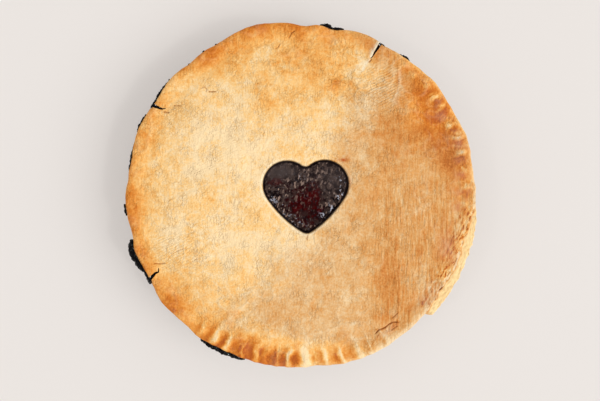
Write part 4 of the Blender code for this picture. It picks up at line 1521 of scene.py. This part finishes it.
    def streaky(self, points: Array) -> Array:
        """Where the skin is drawn into streaks that run along Y."""
        right = smooth_step((points[:, 0] - 0.04) / 0.03)
        low = smooth_step((0.025 - points[:, 1]) / 0.04)
        return 0.2 + 0.8 * right * (0.3 + 0.7 * low)

    def torn(self, points: Array) -> Array:
        """Finds where the skin is shredded.

        Args:
            points: Rows of coordinates.

        Returns:
            1 beside the bottom crust's pale stretch, less where the edge is pinched, and 0 elsewhere.
        """
        angles, inset = bearing(points), self.inset(points)
        beside = self.band.share(angles) * bell(np.maximum(inset - 0.004, 0.0) / 0.007)
        pinched = 0.7 * bell(turn_from(angles, 22.0) / 26.0) * bell((inset - 0.0065) / 0.005)
        return np.maximum(np.maximum(beside, pinched), covered(points, self.crinkles))

    def crack_profile(self, points: Array) -> tuple[Array, Array]:
        """Finds the depth and tone of the cracks.

        Args:
            points: Rows of coordinates.

        Returns:
            How far each point drops, and how dark it is.
        """
        drop, tone = np.zeros(len(points)), np.zeros(len(points))
        for i, crack in enumerate(self.cracks):
            course = jittered(crack.course, *self.crack_ragged, i * 3.7)
            inside = np.flatnonzero(in_box(points, course, 5 * crack.width))
            if not len(inside):
                continue
            distance, along = distance_to_course(points[inside, :2], course)
            ends = smooth_step(along / self.crack_ends) * smooth_step((1 - along) / self.crack_ends)
            width = crack.width * (0.45 + 0.55 * ends)
            share = bell(distance / width) * (0.25 + 0.75 * ends)
            deep = share * crack.depth
            drop[inside] = np.maximum(drop[inside], deep) if crack.depth > 0 else deep
            lip = bell((np.abs(distance) - 2.4 * width) / width) * ends
            drop[inside] -= self.crack_lip * abs(crack.depth) * lip
            tone[inside] = np.maximum(tone[inside], share * crack.tone)
        return drop, tone

    def veins(self, points: Array) -> Array:
        """Finds the thin raised wrinkles that wander over the skin, some broad and some fine.

        Args:
            points: Rows of coordinates.

        Returns:
            0 between the wrinkles, up to 1 on their crests.
        """
        flat = points[:, :2]
        broad = bell(noise_at(flat, 0.01, 2.6) / 0.085)
        broad *= smooth_step(noise_at(flat, 0.021, 8.4) / 0.3 + 0.2)
        fine = bell(noise_at(flat, 0.0056, 12.6) / 0.12)
        fine *= smooth_step(noise_at(flat, 0.016, 1.4) / 0.3 + 0.2)
        here = 0.45 + 0.55 * covered(points, self.vein_patches)
        return np.clip(0.9 * broad + 0.7 * fine, 0.0, 1.0) * here

    def relief(self, points: Array) -> Array:
        """Adds up the fine relief: crumpled skin, veins, streaks, shreds, wrinkles, cracks and the flap.

        Args:
            points: Rows of coordinates.

        Returns:
            How far each point rises over the smooth lid.
        """
        flat = points[:, :2]
        height = self.crumple.over(flat)
        height -= self.valleys.folded(flat)
        height += self.vein_height * self.veins(points)
        height += self.grit.over(flat)
        height += self.streaks.over(flat / self.streak_sizes, self.streaky(points))
        height += self.shreds.folded(flat, self.torn(points))
        for wrinkles in self.wrinkles:
            height += wrinkles.over(flat)
        drop, _ = self.crack_profile(points)
        return height - drop + self.flap(points)

    def flap(self, points: Array) -> Array:
        """Height of the lifted slit's left side, which stands up a little."""
        distance, along = distance_to_course(points[:, :2], self.slits[self.lifted_slit].points())
        raised = self.flap_height * (distance < 0) * bell((np.abs(distance) - 0.0012) / 0.0016)
        return raised * smooth_step((1.05 - along) / 0.4)

    def cut_slits(self, obj: Piece) -> None:
        """Cuts each slit through the sheet with a ragged blade."""
        for i in range(len(self.slits)):
            blade = self.blade(i, 0.0035, self.rim_under - self.thickness, self.rim_under + 0.01)
            apply_modifier(obj, "BOOLEAN", object=blade, operation="DIFFERENCE", solver="MANIFOLD")
            bpy.data.objects.remove(blade, do_unlink=True)

    def blade(self, i: int, overrun: float, low: float, high: float) -> Piece:
        """Makes an upright blade along a slit, from a strip that is drawn out and then extruded.

        Args:
            i: Which slit.
            overrun: How much further out the blade begins.
            low: Height of its lower side.
            high: Height of its upper side.

        Returns:
            The blade, as wide as the slit gapes.
        """
        course = self.slits[i].points()
        course[0] *= 1 + overrun / np.linalg.norm(course[0])
        course = jittered(course, *self.ragged, 20.0 + i)
        count = len(course)
        bpy.ops.object.select_all(action="DESELECT")
        bpy.ops.mesh.primitive_grid_add(x_subdivisions=count - 1, y_subdivisions=1, size=2.0)
        blade = name_piece("blade")
        points = read_points(blade)
        column = np.rint((points[:, 0] + 1) / 2 * (count - 1)).astype(int)
        ahead = np.gradient(course, axis=0)
        ahead /= np.linalg.norm(ahead, axis=1, keepdims=True)
        across = np.stack([-ahead[:, 1], ahead[:, 0]], axis=1)
        half = self.slits[i].half_width(np.linspace(0, 1, count))
        flat = course[column] + across[column] * (half[column] * np.sign(points[:, 1]))[:, None]
        write_points(blade, np.column_stack([flat, np.full(len(flat), low)]))
        bpy.ops.object.mode_set(mode="EDIT")
        bpy.ops.mesh.select_all(action="SELECT")
        bpy.ops.mesh.extrude_region_move(TRANSFORM_OT_translate={"value": (0, 0, high - low)})
        bpy.ops.object.mode_set(mode="OBJECT")
        turn_outwards(blade)
        return blade

    def browning(self, points: Array) -> Array:
        """Finds how brown the crust is: browner to the right and in its patches, and pale by the heart.

        Args:
            points: Rows of coordinates.

        Returns:
            0 where it's pale and 1 where it's dark.
        """
        angles, inset = bearing(points), self.inset(points)
        level = self.brown_level + self.brown_rise * np.tanh(points[:, 0] / 0.045)
        for patch in self.patches:
            level += patch.over(points)
        for tone in self.rim_tones:
            level += tone.over(angles, inset)
        outset = self.heart.outset(points)
        level -= self.pale_by_heart * bell(np.maximum(outset, 0.0) / 0.008)
        below = smooth_step((self.rim_under + 0.0022 - points[:, 2]) / 0.0018)
        return level * (1 - 0.5 * below)

    def dress(self, obj: Piece) -> None:
        """Paints the lid's marks, under the names that its finish reads.

        Args:
            obj: The finished sheet.
        """
        points = read_points(obj)
        outset = self.heart.outset(points)
        depth = self.top(points) - points[:, 2]
        # Juice stain with painted shade on the hole's wall and deep in the slits, and a painted highlight
        # round the hole's edge and on the flap
        juice_and_shade = smooth_step((0.0003 - outset) / 0.0007)
        # The painted highlight round the hole is strongest towards its lower left
        away = points[:, :2] - self.heart.centre()
        side = away @ unit(215) / np.maximum(np.linalg.norm(away, axis=1), 1e-4)
        flour_and_highlight = (0.12 + 0.5 * smooth_step((side + 0.2) / 0.8)) * bell((outset - 0.001) / 0.0006)
        for i, slit in enumerate(self.slits):
            distance, along = distance_to_course(points[:, :2], slit.points())
            near = np.abs(distance) < slit.width * 0.9
            # Deeper in a slit, the juice tone also stands for painted shade
            juice_and_shade = np.maximum(juice_and_shade, near * smooth_step((depth - 0.0004) / 0.0008))
            # The lifted slit's flap gets a painted highlight along its edge
            if i == self.lifted_slit:
                wander = 0.0006 * noise_at(points[:, :2], 0.0022, 3.3)
                off = np.abs(distance) - slit.half_width(along) - 0.0009 + wander
                lip = (distance < 0) * bell(off / 0.001)
                flour_and_highlight = np.maximum(flour_and_highlight, 1.3 * lip * smooth_step((1.05 - along) / 0.2))
        marks = {
            "brown": self.browning(points),
            "tan": self.tan(points),
            "vein": self.veins(points),
            "torn": self.torn(points),
            "crackled": covered(points, self.crackles),
            "blush": covered(points, self.blushes),
            "hatch": covered(points, self.hatches),
            "agate": 0.08 + 0.92 * covered(points, self.agates),
            "crimp_shading": self.crimp_shading(points),
            "streaky": self.streaky(points),
            "crack": self.crack_profile(points)[1],
            "flour_and_highlight": np.clip(np.maximum(flour_and_highlight, covered(points, self.pale_strokes)), 0.0, 1.0),
            "stain": covered(points, self.stains),
            "juice_and_shade": np.clip(juice_and_shade, 0.0, 1.0),
        }
        for name, values in marks.items():
            paint(obj, name, values)

    def build(self) -> None:
        """Builds and dresses the lid."""
        obj = self.shell()
        split_rings(obj, self.fine_beyond, self.rim_under + self.thickness * 0.6)
        refine(obj, self.near_tear, 2)
        turn_outwards(obj)
        points, normals = read_points(obj), read_normals(obj)
        facing = smooth_step((normals[:, 2] - 0.05) / 0.5) * (points[:, 2] > self.rim_under + 0.001)
        write_points(obj, points + normals * (self.relief(points) * facing)[:, None])
        self.cut_slits(obj)
        smooth(obj, 50)
        self.dress(obj)
        finish_piece(obj, BakedCrust().material(), Slot.GOLDEN_CRUST, "top_crust")


# Tin, bottom crust and filling


@dataclass(frozen=True)
class Bowl:
    """The tin's inside, which the crust and the filling follow."""

    sheet: float = 0.0008
    height: float = 0.034
    base_radius: float = 0.092
    mouth_radius: float = 0.1135
    base_corner: float = 0.008
    mouth_corner: float = 0.002
    corner_steps: int = 6

    def slope(self) -> float:
        """How far the wall leans out for each metre up."""
        return (self.mouth_radius - self.base_radius) / (self.height - self.sheet)

    def wall_radius(self, height: float, depth: float) -> float:
        """Radius of the wall at a height, at a depth in from the tin's inside."""
        lean = self.slope()
        return self.base_radius + (height - self.sheet) * lean - depth * hypot(1, lean)

    def section(self, depth: float) -> list[Pair]:
        """Draws the section at a depth in from the tin's inside: base corner, wall and mouth.

        Args:
            depth: How far in, or out if it is negative.

        Returns:
            Points (radius, height) from the base up.
        """
        flare = atan(self.slope())
        corner = self.base_corner - self.sheet / 2
        low = self.sheet + corner
        low_radius = self.wall_radius(low, corner)
        high = self.height - self.mouth_corner
        high_radius = self.wall_radius(high, -self.mouth_corner)
        points = []
        for turn in np.linspace(0, pi / 2 - flare, self.corner_steps):
            points.append((low_radius + (corner - depth) * sin(turn), low - (corner - depth) * cos(turn)))
        for turn in np.linspace(flare, pi / 2, self.corner_steps):
            reach = self.mouth_corner + depth
            points.append((high_radius - reach * cos(turn), high + reach * sin(turn)))
        return points


@dataclass(frozen=True)
class Tin:
    """The tin: pressed sheet with a flared wall, a flange and a rolled bead."""

    bowl: Bowl
    rim_radius: float = 0.1205
    bead_radius: float = 0.0012
    bead_sweep: Pair = (90.0, -150.0)
    bead_points: int = 11
    steps: int = 240

    def profile(self) -> list[Pair]:
        """Draws the middle of the sheet.

        Returns:
            Points (radius, height) from the axis out to the bead's end.
        """
        sheet = self.bowl.sheet
        points = [(0.0, sheet / 2)] + self.bowl.section(-sheet / 2)
        middle = self.rim_radius - self.bead_radius - sheet / 2
        height = self.bowl.height - sheet / 2 - self.bead_radius
        for turn in np.linspace(*self.bead_sweep, self.bead_points):
            across, up = unit(turn) * self.bead_radius
            points.append((middle + across, height + up))
        return points

    def build(self) -> None:
        """Draws the profile by extruding a point along it, spins it and gives it the sheet's thickness."""
        profile = self.profile()
        bpy.ops.object.select_all(action="DESELECT")
        bpy.ops.mesh.primitive_plane_add(size=0.001)
        obj = name_piece("pie_tin")
        bpy.ops.object.mode_set(mode="EDIT")
        bpy.ops.mesh.merge(type="CENTER")
        bpy.ops.transform.translate(value=(profile[0][0], 0.0, profile[0][1]))
        for (radius, height), (further, higher) in zip(profile, profile[1:]):
            move = {"value": (further - radius, 0.0, higher - height)}
            bpy.ops.mesh.extrude_region_move(TRANSFORM_OT_translate=move)
        bpy.ops.mesh.select_all(action="SELECT")
        bpy.ops.mesh.spin(steps=self.steps, angle=2 * pi, center=(0, 0, 0), axis=(0, 0, 1))
        bpy.ops.object.mode_set(mode="OBJECT")
        turn_outwards(obj)
        apply_modifier(obj, "SOLIDIFY", thickness=self.bowl.sheet, offset=0.0)
        smooth(obj, 40)
        finish_piece(obj, SpunTin().material(), Slot.TIN, "tin")


@dataclass(frozen=True)
class BottomCrust:
    """The bottom crust: a bowl of dough that stands out past the lid in one pale, flaky stretch."""

    bowl: Bowl
    lid: Lid
    thickness: float = 0.003
    edge_round: float = 0.0006
    tuck: float = 0.0012
    band_radius: float = 0.1281
    ragged: Grain = Grain(0.0011, 0.0045)
    rise: float = 0.0026
    shoulder: float = 0.0022
    segments: int = 480
    rim_shares: tuple[float, ...] = (0.0, 0.25, 0.45, 0.62, 0.78, 0.9, 1.0)
    side_shares: tuple[float, ...] = (0.12, 0.35, 0.6, 0.85, 1.0)
    rim_insets: Pair = (0.004, 0.0015)
    flake_sizes: Pair = (0.0055, 0.0013)
    flake_height: float = 0.0007
    crumb: Grain = Grain(0.0005, 0.0017, 8.0)
    cream: float = 0.94
    inner_cream: float = 0.34
    juice_reach: float = 0.0036

    def top(self) -> float:
        """Height of the flat rim."""
        return self.bowl.height + GAP + self.thickness

    def edge(self, angles: Array) -> Array:
        """Radius of the crust's edge at angles."""
        outer = self.band_radius + self.ragged.over(unit(angles) * self.band_radius)
        tucked = self.lid.edge(angles) - self.tuck
        return tucked + self.lid.band.share(angles) * (outer - tucked)

    def raised(self, angles: Array) -> Array:
        """Height of the crust where it stands out past the lid."""
        out = self.edge(angles) - self.lid.edge(angles) - self.shoulder
        return self.top() + self.rise * smooth_step(out / self.shoulder)

    def shell(self) -> Piece:
        """Makes the closed bowl, ring by ring from the inside's middle over the rim to the underside's.

        Returns:
            The bowl.
        """
        inner = self.bowl.section(GAP + self.thickness)
        outer = self.bowl.section(GAP)
        flat_rings = len(self.rim_insets) + 1
        sloped_rings = len(self.rim_shares) + len(self.side_shares) + 1
        count = 1 + len(inner) + flat_rings + sloped_rings + len(outer) + 1
        obj, angles, ring = round_lattice("flaky_crust", self.segments, count - 1)
        edge, lid_edge, raised = self.edge(angles), self.lid.drawn_edge(angles), self.raised(angles)
        ones = np.ones(len(edge))
        top, low = self.top(), self.top() - self.thickness
        rows = [(0.0 * ones, inner[0][1] * ones)]
        rows += [(radius * ones, height * ones) for radius, height in inner]
        rows += [(np.minimum(lid_edge, edge) - inset, top * ones) for inset in self.rim_insets]
        rows.append((np.minimum(lid_edge + 0.2 * GAP, edge - self.shoulder), top * ones))
        foot = np.minimum(lid_edge + 0.4 * GAP, edge - self.shoulder / 2)
        tip = edge - self.edge_round
        rows += [(foot + (tip - foot) * share, raised) for share in self.rim_shares]
        begin = raised - self.edge_round / 2
        for share in self.side_shares:
            bulge = self.edge_round * sin(pi * share)
            rows.append((tip + bulge, begin + (low - raised + self.edge_round / 2) * share))
        rows.append((edge - 2 * self.shoulder, low * ones))
        rows += [(radius * ones, height * ones) for radius, height in reversed(outer)]
        rows.append((0.0 * ones, outer[0][1] * ones))
        radii, heights = (np.stack(part)[ring, np.arange(len(ring))] for part in zip(*rows))
        write_points(obj, np.column_stack([unit(angles) * radii[:, None], heights]))
        return obj

    def build(self) -> None:
        """Builds and dresses the bottom crust: flaky where it shows, and dark under the slits with juice
        and painted shade.
        """
        obj = self.shell()
        refine(obj, self.in_band, 2)
        turn_outwards(obj)
        points, normals = read_points(obj), read_normals(obj)
        angles = bearing(points)
        reach = np.hypot(points[:, 0], points[:, 1])
        past = reach - self.lid.drawn_edge(angles)
        outside = smooth_step((past - 0.0002) / 0.001) * self.lid.band.share(angles)
        length, width = self.flake_sizes
        along = np.column_stack([np.radians(angles) * self.band_radius / length, reach / width])
        flakes = np.abs(noise_at(along, 1.0, 4.0))
        lift = (self.flake_height * (0.35 - flakes) + self.crumb.over(points)) * outside
        write_points(obj, points + normals * lift[:, None])
        smooth(obj, 50)
        shade = np.clip(0.16 - flakes, 0, 1) * outside + (self.cream - self.inner_cream) * (1 - outside)
        paint(obj, "cream", self.cream - shade)
        juice_and_shade = np.zeros(len(points))
        for slit in self.lid.slits:
            distance, _ = distance_to_course(points[:, :2], slit.points())
            juice_and_shade = np.maximum(juice_and_shade, smooth_step((self.juice_reach - np.abs(distance)) / 0.0008))
        paint(obj, "juice_and_shade", juice_and_shade)
        finish_piece(obj, FlakyCrust().material(), Slot.PALE_CRUST, "bottom_crust")

    def in_band(self, middles: Array) -> Array:
        """Says which faces belong to the stretch that shows, by their middles."""
        angles = bearing(middles)
        out = np.hypot(middles[:, 0], middles[:, 1]) > self.lid.edge(angles) - 0.001
        return out & (self.lid.band.share(angles) > 0.02) & (middles[:, 2] > self.bowl.height)


@dataclass(frozen=True)
class Filling:
    """The filling: fills the crust under the lid, and shows lumpy and wet in the heart."""

    bowl: Bowl
    lid: Lid
    sink: float = 0.0012
    lump: Grain = Grain(0.001, 0.0085)
    burst: Grain = Grain(0.0009, 0.0042, 1.5)
    knots: Grain = Grain(0.00045, 0.0019, 6.5)
    beads: Grain = Grain(0.0002, 0.001, 3.5)
    open_radius: float = 0.04
    crust: float = 0.003
    segments: int = 360
    fine_reach: float = 0.036
    fine_rings: int = 92
    relief_reach: float = 0.0335
    outer_radii: tuple[float, ...] = (0.052, 0.066, 0.082, 0.098)
    calm_spots: Patches = spots((-14, 16.8, 12, 5.6, 100, 6), (24, 12, 13, 10, 55))
    red_spots: Patches = spots(
        (9.5, 1, 5.5, 8, 140, 10), (-2.5, -8.5, 8, 4.5, 130, -20), (12.5, -13, 5, 5, 120),
        (-18.5, 10, 5, 3.5, 130), (0, -1, 11, 5, 70, -30), (3, -19, 8, 5, 80),
    )
    glint_spots: Patches = spots(
        (28.5, -0.5, 3, 5, 90), (21.5, -10, 2.6, 3, 100), (16, -14, 2, 2, 80), (29, 9, 2.4, 4, 50),
        (0, 12.5, 1.6, 1.4, 80), (-21, -3, 4, 4, 55, -40), (-14, -9, 4, 3, 50, -40),
        (-4, -18, 8, 2.6, 40, -40),
    )

    def height(self, points: Array) -> Array:
        """Height of the upper side over points, sunk and lumpy where it shows."""
        away = np.linalg.norm(points[:, :2] - self.lid.heart.centre(), axis=1) / self.open_radius
        share = 1 - smooth_step(2 * away - 1)
        return self.lid.under(points) - GAP - share * (self.sink - self.lump.over(points[:, :2]))

    def wall(self, points: Array) -> Array:
        """1 along the hole's wall, where the filling is smooth and left black as painted shade."""
        return smooth_step((self.lid.heart.outset(points) + 0.0021) / 0.001)

    def calm(self, points: Array) -> Array:
        """Where the surface lies smooth and gets a painted sheen: in the upper left lobe, and less so in
        the right one.
        """
        return sum(patch.over(points) for patch in self.calm_spots)

    def shell(self) -> Piece:
        """Makes the closed block, ring by ring from the heart's middle over the edge to the underside's.

        Returns:
            The block, with its relief in the heart.
        """
        section = self.bowl.section(GAP + self.crust + GAP)[:-1]
        count = 1 + self.fine_rings + len(self.outer_radii) + len(section) + 1
        obj, angles, ring = round_lattice("berry_filling", self.segments, count - 1)
        out, middle = unit(angles), self.lid.heart.centre()
        rows = [middle + out * self.fine_reach * i / self.fine_rings for i in range(self.fine_rings + 1)]
        rows += [out * radius for radius in self.outer_radii]
        rows += [out * radius for radius, _ in reversed(section)]
        rows.append(out * 0.0)
        flat = np.stack(rows)[ring, np.arange(len(ring))]
        # The upper rings lie under the lid, and the others at the heights of the wall's section
        highest = [1.0] * (count - 1 - len(section)) + [height for _, height in reversed(section)]
        level = np.array(highest + [section[0][1]])[ring]
        points = np.column_stack([flat, np.minimum(self.height(flat), level)])
        showing = smooth_step((self.relief_reach - np.linalg.norm(flat - middle, axis=1)) / 0.002)
        showing *= ring <= self.fine_rings
        points[:, 2] += showing * self.relief(flat) * (1 - self.wall(flat))
        write_points(obj, points)
        return obj

    def build(self) -> None:
        """Builds and dresses the filling."""
        obj = self.shell()
        turn_outwards(obj)
        smooth(obj, 60)
        points = read_points(obj)
        paint(obj, "red", covered(points, self.red_spots))
        glint = 0.03 + sum(patch.over(points) for patch in self.glint_spots)
        paint(obj, "glint", np.clip(glint, 0.0, 1.0))
        paint(obj, "calm", self.calm(points))
        paint(obj, "wall", self.wall(points))
        finish_piece(obj, BerryFilling().material(), Slot.FILLING, "filling")

    def relief(self, flat: Array) -> Array:
        """Berries that have burst and bubbles that set, over the filling's slow lumps."""
        ridges = 0.3 * self.burst.height - self.burst.folded(flat)
        return (1 - self.calm(flat)) * (ridges + self.knots.over(flat) + self.beads.over(flat))


# Juice


@dataclass(frozen=True)
class Juice:
    """Boiled-over juice on the rim: each bead of it is made finer and blistered."""

    nodes: tuple[str, ...] = (
        "juice_left",
        "juice_lower_left",
        "juice_top",
        "juice_top_right",
        "juice_upper_left",
        "juice_upper_right",
        "juice_left_top",
        "juice_left_side",
        "juice_left_spot",
    )
    thin: tuple[str, ...] = ("juice_upper_left", "juice_left_top", "juice_left_side", "juice_upper_right")
    thin_shift: float = 0.0005
    sunk: str = "juice_top_right"
    sunk_shift: float = 0.0012
    tongues: tuple[str, ...] = ("juice_upper_left", "juice_lower_left", "juice_top_right")
    tongue_overrun: float = 0.0002
    tongue_height: float = 0.0022
    voxel: float = 0.00028
    blister: Grain = Grain(0.0007, 0.0022, 2.0)
    bubble: Grain = Grain(0.6, 0.001, 5.0)
    dash_places: tuple[Pair, ...] = ((119.3, 0.0016), (124.0, 0.002), (130.4, 0.0014))
    dash_radii: Pair = (0.0006, 0.001)
    dash_out: float = 0.0001
    dash_up: float = 0.0013
    dash_bumps: Grain = Grain(0.0003, 0.001)

    def bead(self, node: str, lid: Lid, material: Finish) -> None:
        """Makes a fine copy of one solid bead, runs it into its slit and blisters it.

        Args:
            node: The bead's solid.
            lid: The lid with the slits.
            material: The juice's finish.
        """
        select_only(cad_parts[node])
        bpy.ops.object.duplicate()
        obj = name_piece(node.replace("juice", "spill"))
        turn_outwards(obj)
        if node in self.tongues:
            low, high = lid.rim_under - GAP, lid.rim_under + self.tongue_height
            tongue = lid.blade(self.tongues.index(node), self.tongue_overrun, low, high)
            select_only(obj)
            tongue.select_set(True)
            bpy.ops.object.join()
        apply_modifier(obj, "REMESH", mode="VOXEL", voxel_size=self.voxel)
        points, normals = read_points(obj), read_normals(obj)
        swell = noise_at(points, self.blister.size, self.blister.shift) + self.bubble.over(points)
        points += normals * (self.blister.height * swell)[:, None]
        shift = self.thin_shift * (node in self.thin) + self.sunk_shift * (node == self.sunk)
        points[:, :2] *= 1 - shift / np.hypot(points[:, 0], points[:, 1])[:, None]
        write_points(obj, points)
        smooth(obj, 60)
        finish_piece(obj, material, Slot.JUICE, node)

    def dashes(self, lid: Lid, material: Finish) -> None:
        """Adds the tiniest dashes of juice along the upper left edge, as one piece.

        Args:
            lid: The lid whose edge they lie on.
            material: The juice's finish.
        """
        made = []
        across, up = self.dash_radii
        for angle, length in self.dash_places:
            bpy.ops.object.select_all(action="DESELECT")
            bpy.ops.mesh.primitive_uv_sphere_add(segments=20, ring_count=12, radius=1.0)
            dash = name_piece("juice_dashes")
            points = read_points(dash) * (across, length / 2, up)
            points[:, 0] += lid.edge(np.array([angle]))[0] + self.dash_out
            flat = points[:, :2] @ np.stack([unit(angle), unit(angle + 90)])
            turned = np.column_stack([flat, points[:, 2] + (lid.rim_under + self.dash_up)])
            turned += self.dash_bumps.over(turned)[:, None]
            write_points(dash, turned)
            made.append(dash)
        for dash in made:
            dash.select_set(True)
        bpy.ops.object.join()
        obj = name_piece("juice_dashes")
        smooth(obj, 60)
        finish_piece(obj, material, Slot.JUICE)

    def build(self, lid: Lid) -> None:
        """Builds and dresses all the juice.

        Args:
            lid: The lid that it boiled out of.
        """
        material = CookedJuice().material()
        for node in self.nodes:
            self.bead(node, lid, material)
        self.dashes(lid, material)


# Studio


@dataclass(frozen=True)
class Lamp:
    """A wide soft sun: where it shines from, how wide it is in degrees, its strength and its colour."""

    name: str
    place: Triple
    spread: float
    strength: float
    colour: Colour


@dataclass(frozen=True)
class Studio:
    """A plain pale floor, soft light and a camera straight above."""

    lamps: tuple[Lamp, ...] = (
        Lamp("key", (0.85, -0.31, 0.8), 40.0, 1.1, (0.97, 0.985, 1.0)),
        Lamp("sparkle_right", (0.55, -0.3, 0.85), 5.0, 0.22, (1.0, 1.0, 1.0)),
        Lamp("sparkle_left", (-0.55, -0.15, 0.85), 4.0, 0.1, (1.0, 1.0, 1.0)),
    )
    camera_place: Triple = (-0.0004, -0.0036, 0.638)
    lens: float = 50.0
    sensor: float = 36.0
    floor_size: float = 40.0
    floor_tone: Colour = screen(186, 182, 178)
    floor_cloud: float = 0.25
    floor_glow: Colour = (0.315, 0.297, 0.287)
    sky: float = 0.8
    sky_tone: Colour = (1.0, 0.98, 0.965)
    lean: Triple = (0.3, -0.2, 0.0)
    zenith: float = 0.25
    dark_cone: Pair = (22.0, 6.0)
    nearest: float = 0.01

    def build(self) -> None:
        """Sets up the floor, the lights, the world and the camera."""
        self.floor()
        for lamp in self.lamps:
            self.light(lamp)
        self.world()
        self.camera()
        bpy.context.scene.view_settings.view_transform = "Standard"
        log.info("studio: %d lamps", len(self.lamps))

    def floor(self) -> None:
        """Lays the pale floor under the tin."""
        bpy.ops.object.select_all(action="DESELECT")
        bpy.ops.mesh.primitive_plane_add(size=self.floor_size)
        floor = name_piece("floor")
        bench = Bench.for_material("pale_table")
        cloud = bench.noise(bench.place(), self.floor_cloud, 2.0)
        tone = bench.mix(cloud * 0.2, self.floor_tone, tuple(part * 0.96 for part in self.floor_tone))
        shiny = {"Roughness": 0.6, "Specular_IOR_Level": 0.2}
        glow = {"Emission_Color": self.floor_glow, "Emission_Strength": 1.0}
        floor.data.materials.append(bench.surface(Base_Color=tone, **shiny, **glow))

    def light(self, lamp: Lamp) -> None:
        """Adds one soft light, turned to the pie.

        Args:
            lamp: Its place and its looks.
        """
        data = bpy.data.lights.new(lamp.name, "SUN")
        data.angle = radians(lamp.spread)
        data.energy = lamp.strength
        data.color = lamp.colour
        obj = bpy.data.objects.new(lamp.name, data)
        obj.location = lamp.place
        obj.rotation_mode = "QUATERNION"
        obj.rotation_quaternion = (-Vector(lamp.place)).to_track_quat("-Z", "Y")
        bpy.context.scene.collection.objects.link(obj)

    def world(self) -> None:
        """Lights everything softly: more from the lower right, and little from straight above."""
        world = bpy.data.worlds.new("soft_room")
        bench = Bench(world)
        ray = bench.wire("ShaderNodeTexCoord", output="Generated")
        inputs = {0: ray, 1: self.lean}
        leaning = bench.wire("ShaderNodeVectorMath", {"operation": "DOT_PRODUCT"}, inputs, "Value")
        wide, narrow = (cos(radians(angle)) for angle in self.dark_cone)
        overhead = ray.part("Z").step(wide, narrow)
        level = (1 - overhead * (1 - self.zenith)) * self.sky
        background = bench.tree.nodes["Background"]
        bench.feed(background.inputs["Strength"], level * (leaning + 1))
        bench.feed(background.inputs["Color"], self.sky_tone)
        bpy.context.scene.world = world

    def camera(self) -> None:
        """Hangs the camera over the pie, with +Y up in its picture."""
        data = bpy.data.cameras.new("camera")
        data.lens = self.lens
        data.sensor_width = self.sensor
        data.clip_start = self.nearest
        camera = bpy.data.objects.new("camera", data)
        camera.location = self.camera_place
        bpy.context.scene.collection.objects.link(camera)
        bpy.context.scene.camera = camera


def main() -> None:
    """Builds the pie's pieces in order, then the studio."""
    logging.basicConfig(level=logging.INFO, format="%(name)s: %(message)s")
    bowl = Bowl()
    lid = Lid(Heart(), Stretch(start=315.5, full=318.0, fade=350.0, end=368.0))
    Tin(bowl).build()
    BottomCrust(bowl, lid).build()
    Filling(bowl, lid).build()
    lid.build()
    Juice().build(lid)
    Studio().build()


if __name__ == "__main__":
    main()
